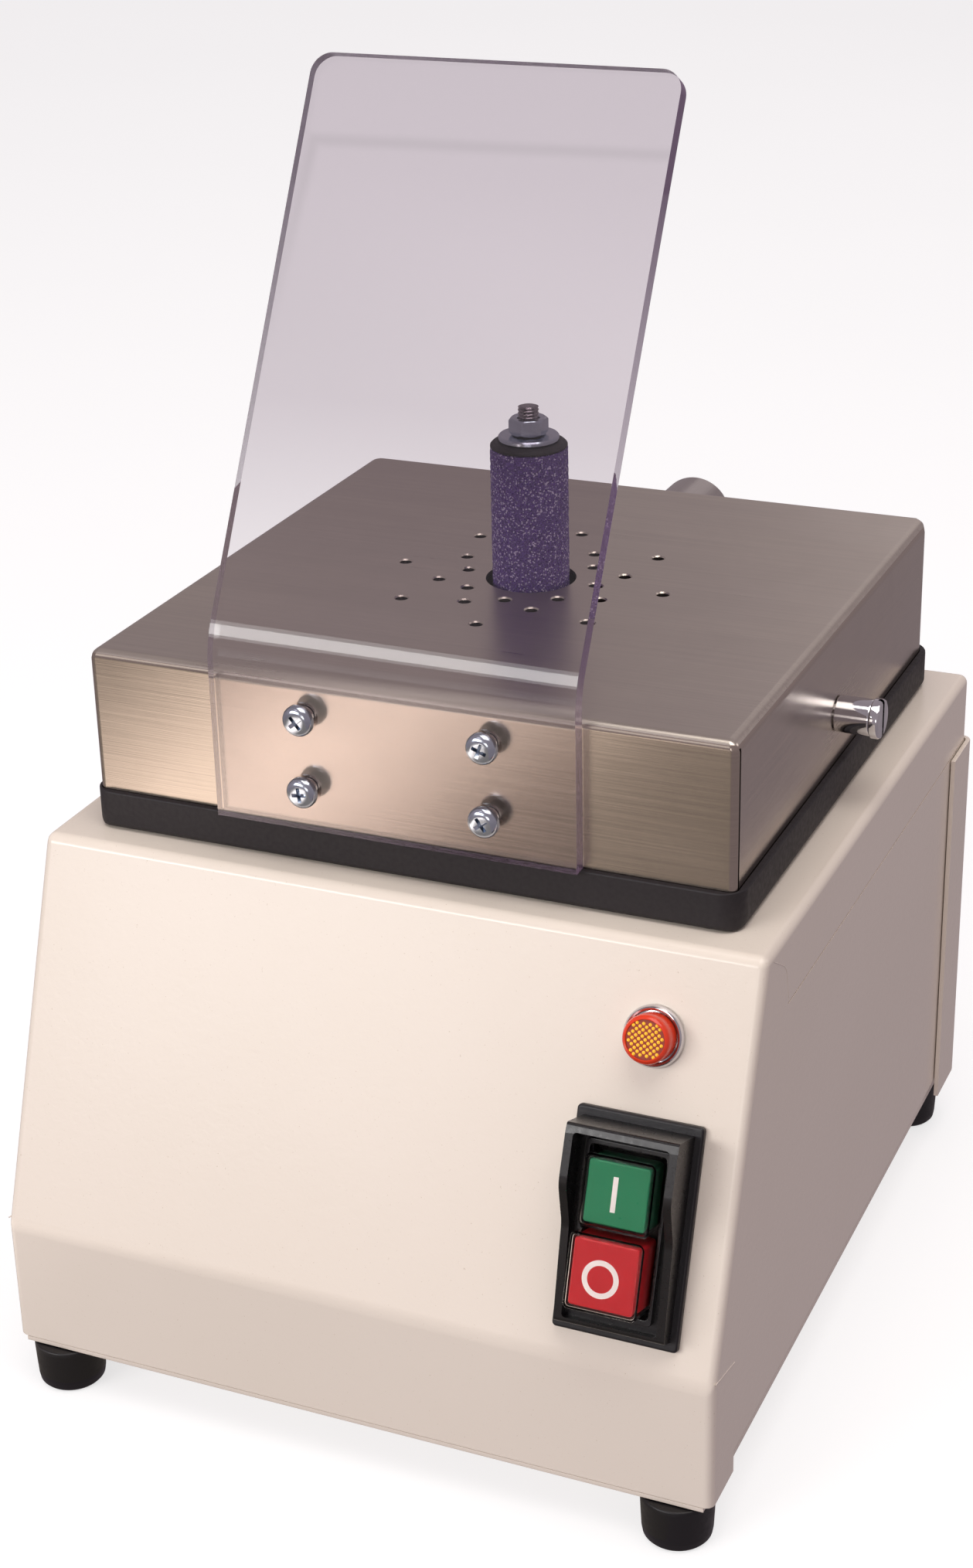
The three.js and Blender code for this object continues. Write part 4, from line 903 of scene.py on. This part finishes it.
# ---- Drum
def build_drum():
    """The spindle with its sleeve, rubber core, washer and nut."""
    centre = at(SPIN.x, SPIN.y, 0)
    low, high = cad("abrasive_sleeve")
    r = (high.x - low.x) / 2
    core = cad("drum_core")
    rubber_r = 9.7
    profile = [(rubber_r, low.z), (r - 0.2, low.z), (r, low.z + 0.2)]
    profile += [(r, low.z + 0.2 + (high.z - low.z - 0.4) * k / 60) for k in range(1, 61)]
    profile += [(r - 0.2, high.z), (rubber_r, high.z), (rubber_r, low.z)]
    sleeve = finish_mesh(
        lathe_mesh(profile, 160), "grit_sleeve", "rotor", grit, matrix=centre, replaces=["abrasive_sleeve"],
        slot="abrasive", weighted=False
    )
    texture = bpy.data.textures.new("grain", "VORONOI")
    texture.noise_scale, texture.noise_intensity = 0.0011, 1.0
    rough = sleeve.modifiers.new("grit", "DISPLACE")
    rough.texture, rough.strength, rough.mid_level = texture, 0.00045, 0.75
    rough.texture_coords = "LOCAL"
    c0, c1 = core
    top = c1.z
    shoulder = (c1.x - c0.x) / 2
    profile = [
        (3.3, c0.z), (shoulder - 1.6, c0.z), (shoulder, c0.z + 1.3), (shoulder, low.z - 0.2),
        (9.4, low.z - 0.2), (9.4, high.z + 0.15), (shoulder + 0.1, high.z + 0.15), (shoulder, high.z + 0.7),
        (shoulder - 0.6, high.z + 1.3), (shoulder - 2, top), (3.3, top), (3.3, c0.z)
    ]
    finish_mesh(
        lathe_mesh(rounded(profile, 0.35, 3), 96), "rubber_drum", "rotor", rubber, matrix=centre,
        replaces=["drum_core"], slot="black_rubber"
    )
    w0, w1 = cad("drum_washer")
    wr = (w1.x - w0.x) / 2
    washer = [
        (3.25, w0.z), (wr - 0.3, w0.z), (wr, w0.z + 0.3), (wr, w1.z - 0.4), (wr - 0.35, w1.z), (3.6, w1.z),
        (3.25, w1.z - 0.3), (3.25, w0.z)
    ]
    finish_mesh(
        lathe_mesh(washer, 72), "washer_plate", "rotor", zinc, matrix=centre, replaces=["drum_washer"],
        slot="zinc_plate"
    )
    n0, n1 = cad("drum_nut")
    hex_nut("hex_nut", "rotor", (n1.x - n0.x), 3.25, n0.z, n1.z, centre, zinc, "drum_nut")
    s0, s1 = spin_lo, spin_hi
    stud_top = s1.z
    seat = cad("drum_seat")
    profile = [(0, s0.z), (3.6, s0.z), (4, s0.z + 0.4), (4, seat[0].z - 0.3), (2.95, seat[0].z - 0.3)]
    z = seat[0].z
    while z < stud_top - 1.0:
        profile += [(2.98, z + 0.12), (2.62, z + 0.5), (2.98, z + 0.88)]
        z += 1.0
    profile += [(2.6, stud_top - 0.5), (2.2, stud_top - 0.05), (0, stud_top)]
    finish_mesh(
        lathe_mesh(profile, 48), "threaded_stud", "rotor", dark_thread, smooth=25, matrix=centre,
        replaces=["spindle_shaft"], slot="turned_steel"
    )


def hex_nut(name, body, flats, bore, z0, z1, matrix, material, node):
    """A hexagon nut with chamfered corners."""
    corner = flats / math.sqrt(3)
    outline = [(corner * cos(pi / 6 + k * pi / 3), corner * sin(pi / 6 + k * pi / 3)) for k in range(6)]
    blank = raw_object(prism_mesh(outline, z0, z1))
    narrow, wide = flats / 2 * 0.97, corner * 1.01
    cone = [
        (0, z0 - 2), (narrow, z0 - 0.01), (wide, z0 + 0.75), (wide, z1 - 0.75), (narrow, z1 + 0.01),
        (0, z1 + 2)
    ]
    chamfer = raw_object(lathe_mesh(cone, 72))
    modifier = blank.modifiers.new("chamfer", "BOOLEAN")
    modifier.operation, modifier.solver, modifier.object = "INTERSECT", "EXACT", chamfer
    apply_modifiers(blank)
    bpy.data.objects.remove(chamfer)
    flared = bore + 0.5
    hole = [
        (0, z0 - 1), (flared, z0 - 0.5), (bore, z0 + 0.3), (bore, z1 - 0.3), (flared, z1 + 0.2), (0, z1 + 1)
    ]
    drill = raw_object(lathe_mesh(hole, 40))
    carved(name, body, blank, material, drill, smooth=25, matrix=matrix, replaces=[node], slot="zinc_plate")


build_drum()

# ---- Switch and lamp, drawn on the slope: X across, Y up the slope from the knee, Z out of the front
LAMP_RISE = 89.6
ON_SLOPE = at(0, 0, KNEE) @ Matrix.Rotation(pi / 2 - SLOPE, 4, "X")
BUTTON_X = halfway(*cad("stop_button"))[0]
switch_lo, switch_hi = cad("switch_body")


def pillow_mesh(x0, x1, y0, y1, z0, z1, radius):
    """A block with soft vertical edges and a slightly domed face."""
    bm = box_mesh(x0, x1, y0, y1, z0, z1)
    upright = [e for e in bm.edges if abs(e.verts[0].co.z - e.verts[1].co.z) > 0.1]
    bmesh.ops.bevel(bm, geom=upright, offset=radius, segments=5, profile=0.5, affect="EDGES")
    top = [e for e in bm.edges if all(v.co.z > z1 - 1e-4 for v in e.verts) and len(e.link_faces) == 2]
    bmesh.ops.bevel(bm, geom=top, offset=radius * 0.6, segments=4, profile=0.5, affect="EDGES")
    return bm


def cavity(x, half, low, high, z0, z1):
    """A soft-cornered block for hollowing the switch."""
    return raw_object(prism_mesh(slotted(x, half, low, high, 1), z0, z1), ON_SLOPE)


def cushion(x, half, low, high, z0, z1, radius):
    """A pillow centred on x, as an object on the slope."""
    return raw_object(pillow_mesh(x - half, x + half, low, high, z0, z1, radius), ON_SLOPE)


def build_switch():
    """The start and stop switch: flange, guard, well, case and two booted buttons."""
    plate_x = halfway(switch_lo, switch_hi)[0]
    x = BUTTON_X
    travel = (x, 10.45, 17, 60.2, -3, 6)
    flange = raw_object(pillow_mesh(switch_lo.x, switch_hi.x, 8.3, 68.6, 0.3, 2.2, 1.2), ON_SLOPE)
    carved(
        "switch_flange", "housing", flange, black_flange, cavity(*travel), replaces=["switch_body"],
        slot="black_plastic", smooth=40
    )
    side = [
        (10.8, 1, 0), (66.1, 1, 0), (66.3, 15, 0.9), (63.5, 15.5, 1.5), (50, 16.2, 9), (38.8, 10.2, 9),
        (11.6, 7.6, 1.2)
    ]
    outline = rounded(side, 0, 7, closed=True)
    guard = raw_object(prism_mesh(outline, plate_x - 15.4, plate_x + 15.4), ON_SLOPE @ SIDE)
    well = cushion(plate_x, 13.2, 13, 64, 5, 40, 1.0)
    carved(
        "switch_guard", "housing", guard, black, well, cavity(*travel), smooth=30, bevel=(0.5, 3, 35),
        slot="black_plastic"
    )
    frame_ring = cavity(x, 11.6, 15.4, 61.6, 2.4, 7.6)
    carved(
        "switch_well", "housing", frame_ring, black, cavity(x, 10.6, 17, 60.2, 0, 20), smooth=30,
        bevel=(0.3, 2, 35), slot="black_plastic"
    )
    rear = pillow_mesh(plate_x - 13.8, plate_x + 13.8, 15.5, 61.2, -28, 0.2, 1)
    finish_mesh(rear, "switch_case", "housing", black, matrix=ON_SLOPE, slot="black_plastic")
    caps = (  # node, colour, lower and upper edge, half width, height of the face, material
        ("start_button", "green", 40.9, 57.8, 8.5, 13, green),
        ("stop_button", "red", 19.5, 37.5, 8.9, 16, red),
    )
    for node, word, low, high, half, face, material in caps:
        cap = pillow_mesh(x - half, x + half, low, high, 3.6, face, 0.9)
        finish_mesh(
            cap, f"{word}_cap", node, material, matrix=ON_SLOPE, replaces=[node], slot=f"{word}_plastic",
            smooth=40
        )
        blank = cushion(x, half + 1.3, low - 1.3, high + 1.3, 3.4, face + 0.9, 1.6)
        hollow = cushion(x, half + 0.7, low - 0.7, high + 0.7, 1, face + 0.4, 1.2)
        carved(f"{word}_boot", node, blank, boot_clear, hollow, smooth=40)
    bar = pillow_mesh(x - 1.35, x + 0.05, 44.7, 54.1, 12.9, 13.05, 0.1)
    finish_mesh(bar, "start_mark", "start_button", white_ink_painted_glow, matrix=ON_SLOPE, weighted=False)
    ring = lathe_mesh([(3.6, 15.9), (5.05, 15.9), (5.05, 16.05), (3.6, 16.05), (3.6, 15.9)], 64)
    finish_mesh(
        ring, "stop_mark", "stop_button", white_ink_painted_glow, matrix=ON_SLOPE @ at(x - 0.7, 27.6, 0), weighted=False
    )


build_switch()


def build_lamp():
    """The indicator lamp: chrome ring, cap and a field of small points with a painted highlight and a
    painted glow.
    """
    place = ON_SLOPE @ at(halfway(*cad("lamp_lens"))[0], LAMP_RISE, 0)
    bezel = [
        (6.9, -4), (6.9, 1.6), (7.1, 2.1), (7.6, 2.3), (8.0, 2.0), (8.35, 1.2), (8.4, 0.5), (8.3, 0.3),
        (6.0, 0.3), (6.0, -20), (5.0, -20)
    ]
    finish_mesh(
        lathe_mesh(bezel, 72), "lamp_ring", "housing", chrome, matrix=place, replaces=["lamp_bezel"],
        slot="chrome_plate"
    )
    r = 6.6
    body = [
        (0, -4), (r - 0.2, -4), (r, 1), (r, 6.6), (r - 0.25, 7.3), (r - 0.7, 7.8), (r - 1.15, 8.0),
        (r - 1.3, 7.7)
    ]
    finish_mesh(
        lathe_mesh(body, 72), "lamp_cap", "housing", lens_rim, matrix=place, replaces=["lamp_lens"],
        slot="orange_lens"
    )
    field_z = 7.55
    field = [(0, field_z), (r - 1.25, field_z), (r - 1.2, 7.2), (0, 7.2)]
    finish_mesh(lathe_mesh(field, 48), "lamp_field", "housing", lens_field, matrix=place)
    bm = bmesh.new()
    pitch = 1.8
    for i in range(-4, 5):
        for j in range(-7, 8):
            px = i * pitch + (pitch / 2 if j % 2 else 0)
            py = j * pitch * 0.46
            if math.hypot(px, py) < 4.95:
                point = at(px, py, field_z + 0.25)
                bmesh.ops.create_cone(
                    bm, cap_ends=True, segments=8, radius1=0.5, radius2=0.22, depth=0.5, matrix=point)
    finish_mesh(bm, "lamp_facets", "housing", lens_points_painted_glint_and_glow, matrix=place, smooth=20, weighted=False)


build_lamp()

# ---- CAD nodes that are shown as they are
CAD_LOOKS = {
    "dust_tray": tray_steel,
    "latch_nut": zinc,
    "drum_seat": turned_steel,
    "upper_bearing": turned_steel,
    "lower_bearing": turned_steel,
    "motor_top_bell": cast,
    "motor_bottom_bell": cast,
    "motor_housing": lamination,
    "cooling_fan": black,
    "lamp_nut": zinc,
    "power_inlet": black,
    "run_capacitor": capacitor_grey,
}
for name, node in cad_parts.items():
    look = CAD_LOOKS.get(name)
    if look is None and (name.startswith("shield_nut") or name.startswith("motor_screw")):
        look = zinc
    if look is None:
        continue
    node.data.materials.clear()
    node.data.materials.append(look)
    edges = node.modifiers.new("edges", "BEVEL")
    edges.width, edges.segments, edges.limit_method, edges.angle_limit = 0.0002, 2, "ANGLE", radians(40)

# ---- Stage, light and camera
def plane(name, place, size, material):
    """A flat sheet facing up."""
    bm = bmesh.new()
    bmesh.ops.create_grid(bm, x_segments=1, y_segments=1, size=0.5)
    bmesh.ops.scale(bm, vec=(size[0], size[1], 1), verts=bm.verts)
    mesh = as_mesh(name, bm)
    mesh.materials.append(material)
    obj = placed(name, mesh)
    obj.location = place
    return obj


def reflected(obj):
    """Leaves obj visible in reflections and through clear pieces only."""
    obj.visible_camera = obj.visible_diffuse = obj.visible_shadow = False
    return obj


def glow_strip():
    """Light on the bench in front, seen in the table's brushed front wall: brightest along its middle."""
    glow = Shader("glow_strip", Roughness=1.0, Base_Color=(0, 0, 0, 1))
    across = glow.maths("ABSOLUTE", glow.split_xyz()[0])
    fade = glow.span(across, 0.0, 0.13, 2.7, 0.3, smooth=True)
    glow.set(
        Emission_Color=glow.blend(glow.noise(2, 2), (1.0, 0.85, 0.76, 1), (1.0, 0.89, 0.80, 1)),
        Emission_Strength=fade
    )
    return reflected(plane("glow_strip", (-0.235, -0.62, 0.004), (0.66, 1.0), glow.material))


def glow_window():
    """A soft window high in front, with a thin frame line, for the shield's faint reflection."""
    glow = Shader("glow_window", Roughness=1.0, Base_Color=(0, 0, 0, 1))
    x, y = glow.split_xyz()[:2]
    x, y = glow.maths("SUBTRACT", x, 0.197), glow.maths("SUBTRACT", y, 0.084)
    above = glow.maths("ADD", glow.maths("MULTIPLY", x, 0.39), glow.maths("MULTIPLY", y, 0.921))
    beside = glow.maths("ADD", glow.maths("MULTIPLY", x, 0.983), glow.maths("MULTIPLY", y, -0.182))
    frame_line = glow.maths("ABSOLUTE", glow.maths("MAXIMUM", above, beside))
    line = glow.span(frame_line, 0.0, 0.011, 0.1, 1.0, smooth=True)
    fade = glow.span(y, -0.24, 0.0, 0.34, 1.2, smooth=True)
    glow.set(Emission_Color=(1.0, 0.9, 0.97, 1), Emission_Strength=glow.maths("MULTIPLY", line, fade))
    card = plane("glow_window", (0, 0, 0), (0.72, 0.80), glow.material)
    centre = TO_ROW @ Vector((-885.0, -1375.9, 1674.6))
    axes = Matrix(((-0.8572, 0.3226, 0.4014), (0.5150, 0.5370, 0.6682), (0.0, 0.7795, -0.6264)))
    card.matrix_world = Matrix.Translation(centre) @ axes.to_4x4()
    return reflected(card)


def build_stage():
    """A pale sheet under the machine, and two glowing cards that only show in reflections."""
    sheet = Shader("floor", Roughness=0.85, Emission_Color=(1, 1, 1, 1), Emission_Strength=0.69)
    sheet.set(Base_Color=sheet.blend(sheet.noise(3, 3), srgb(168, 168, 168), srgb(174, 174, 174)))
    floor = plane("floor", (0, 0, 0), (12, 12), sheet.material)
    floor.visible_diffuse = floor.visible_glossy = False
    glow_strip()
    glow_window()


build_stage()


def area_light(name, place, target, size, power, colour=(1, 1, 1)):
    data = bpy.data.lights.new(name, "AREA")
    data.shape, data.size, data.size_y = "RECTANGLE", size[0], size[1]
    data.energy, data.color = power, colour
    obj = placed(name, data)
    obj.location = place
    obj.rotation_euler = (Vector(target) - Vector(place)).to_track_quat("-Z", "Y").to_euler()
    return obj


area_light("top", (0.32, -0.4, 1.9), (0, 0, 0.2), (1.3, 1.3), 17, (1.0, 0.965, 0.93))
area_light("front", (0.32, -2.1, 0.45), (0, 0, 0.1), (0.5, 0.5), 2.5, (1.0, 0.96, 0.92))
area_light("back", (-0.05, 2.0, 1.0), (0, 0, 0.2), (0.9, 0.7), 0.6, (1.0, 0.94, 0.92))
area_light("rim", (0.8, 0.55, 0.65), (0, 0, 0.14), (0.35, 0.35), 0.6, (1.0, 0.93, 0.92))


def reach(light, *objects, leave_out=False):
    """Makes a light reach only these objects, or all but these."""
    group = bpy.data.collections.new(light.name + "_reach")
    for obj in objects:
        group.objects.link(obj)
    for item in group.collection_objects:
        item.light_linking.link_state = "EXCLUDE" if leave_out else "INCLUDE"
    light.light_linking.receiver_collection = group


# The key light has a bright core. The bare metal table gets a weak copy, so its bends don't burn
# out, and the shield gets copies that show in its reflections but not through it.
KEY = ((-0.95, -1.80, 0.95), (0, -0.1, 0.15), (1.4, 0.66))
CORE = ((-1.00, -1.75, 0.93), (0, -0.1, 0.15), (1.1, 0.40))
WHITE = (1.0, 0.99, 0.98)
reach(area_light("key", *KEY, 9.5, WHITE), table, shield, leave_out=True)
reach(area_light("key_core", *CORE, 10.5, WHITE), table, shield, leave_out=True)
reach(area_light("weak_key", *KEY, 2.2, WHITE), table)
for name, place, power in (("shield_key", KEY, 9.5), ("shield_core", CORE, 10.5)):
    light = area_light(name, *place, power, WHITE)
    light.visible_transmission = False
    reach(light, shield)
# A low light that reaches the painted housing only, for the soft glare on its sloping front.
reach(area_light("sheen", (-0.92, -1.88, 0.41), (-0.04, -0.11, 0.13), (0.5, 0.32), 2.0), shell)


def build_world():
    """A faintly pink room, a little brighter above the horizon than below."""
    world = bpy.data.worlds.new("studio")
    world.use_nodes = True
    tree = world.node_tree
    background = tree.nodes["Background"]
    sky = tree.nodes.new("ShaderNodeTexCoord")
    split = tree.nodes.new("ShaderNodeSeparateXYZ")
    level = tree.nodes.new("ShaderNodeMapRange")
    tree.links.new(sky.outputs["Generated"], split.inputs["Vector"])
    tree.links.new(split.outputs["Z"], level.inputs["Value"])
    for key, value in (("From Min", -0.3), ("From Max", 0.2), ("To Min", 0.30), ("To Max", 0.355)):
        level.inputs[key].default_value = value
    tree.links.new(level.outputs["Result"], background.inputs["Strength"])
    background.inputs["Color"].default_value = (1.0, 0.85, 0.92, 1)
    bpy.context.scene.world = world


build_world()
bpy.context.scene.view_settings.view_transform = "Standard"


def build_camera():
    """The photograph's viewpoint: in front, to the right and above."""
    yaw, pitch, roll, lens = 0.417, 0.426, 0.025, 62.1334
    position = Vector((289.51, -546.79, 473.61))
    forward = Vector((-sin(yaw) * cos(pitch), cos(yaw) * cos(pitch), -sin(pitch)))
    right = Vector((cos(yaw), sin(yaw), 0))
    down = forward.cross(right)
    rolled_right = cos(roll) * right + sin(roll) * down
    rolled_down = -sin(roll) * right + cos(roll) * down
    data = bpy.data.cameras.new("camera")
    data.lens = lens
    data.sensor_width, data.sensor_fit = 36, "AUTO"
    data.clip_start, data.clip_end = 0.01, 20
    matrix = Matrix.Identity(4)
    for row in range(3):
        matrix[row][0], matrix[row][1], matrix[row][2] = rolled_right[row], -rolled_down[row], -forward[row]
        matrix[row][3] = (TO_ROW @ position)[row]
    obj = placed("camera", data)
    obj.matrix_world = matrix
    bpy.context.scene.camera = obj


build_camera()
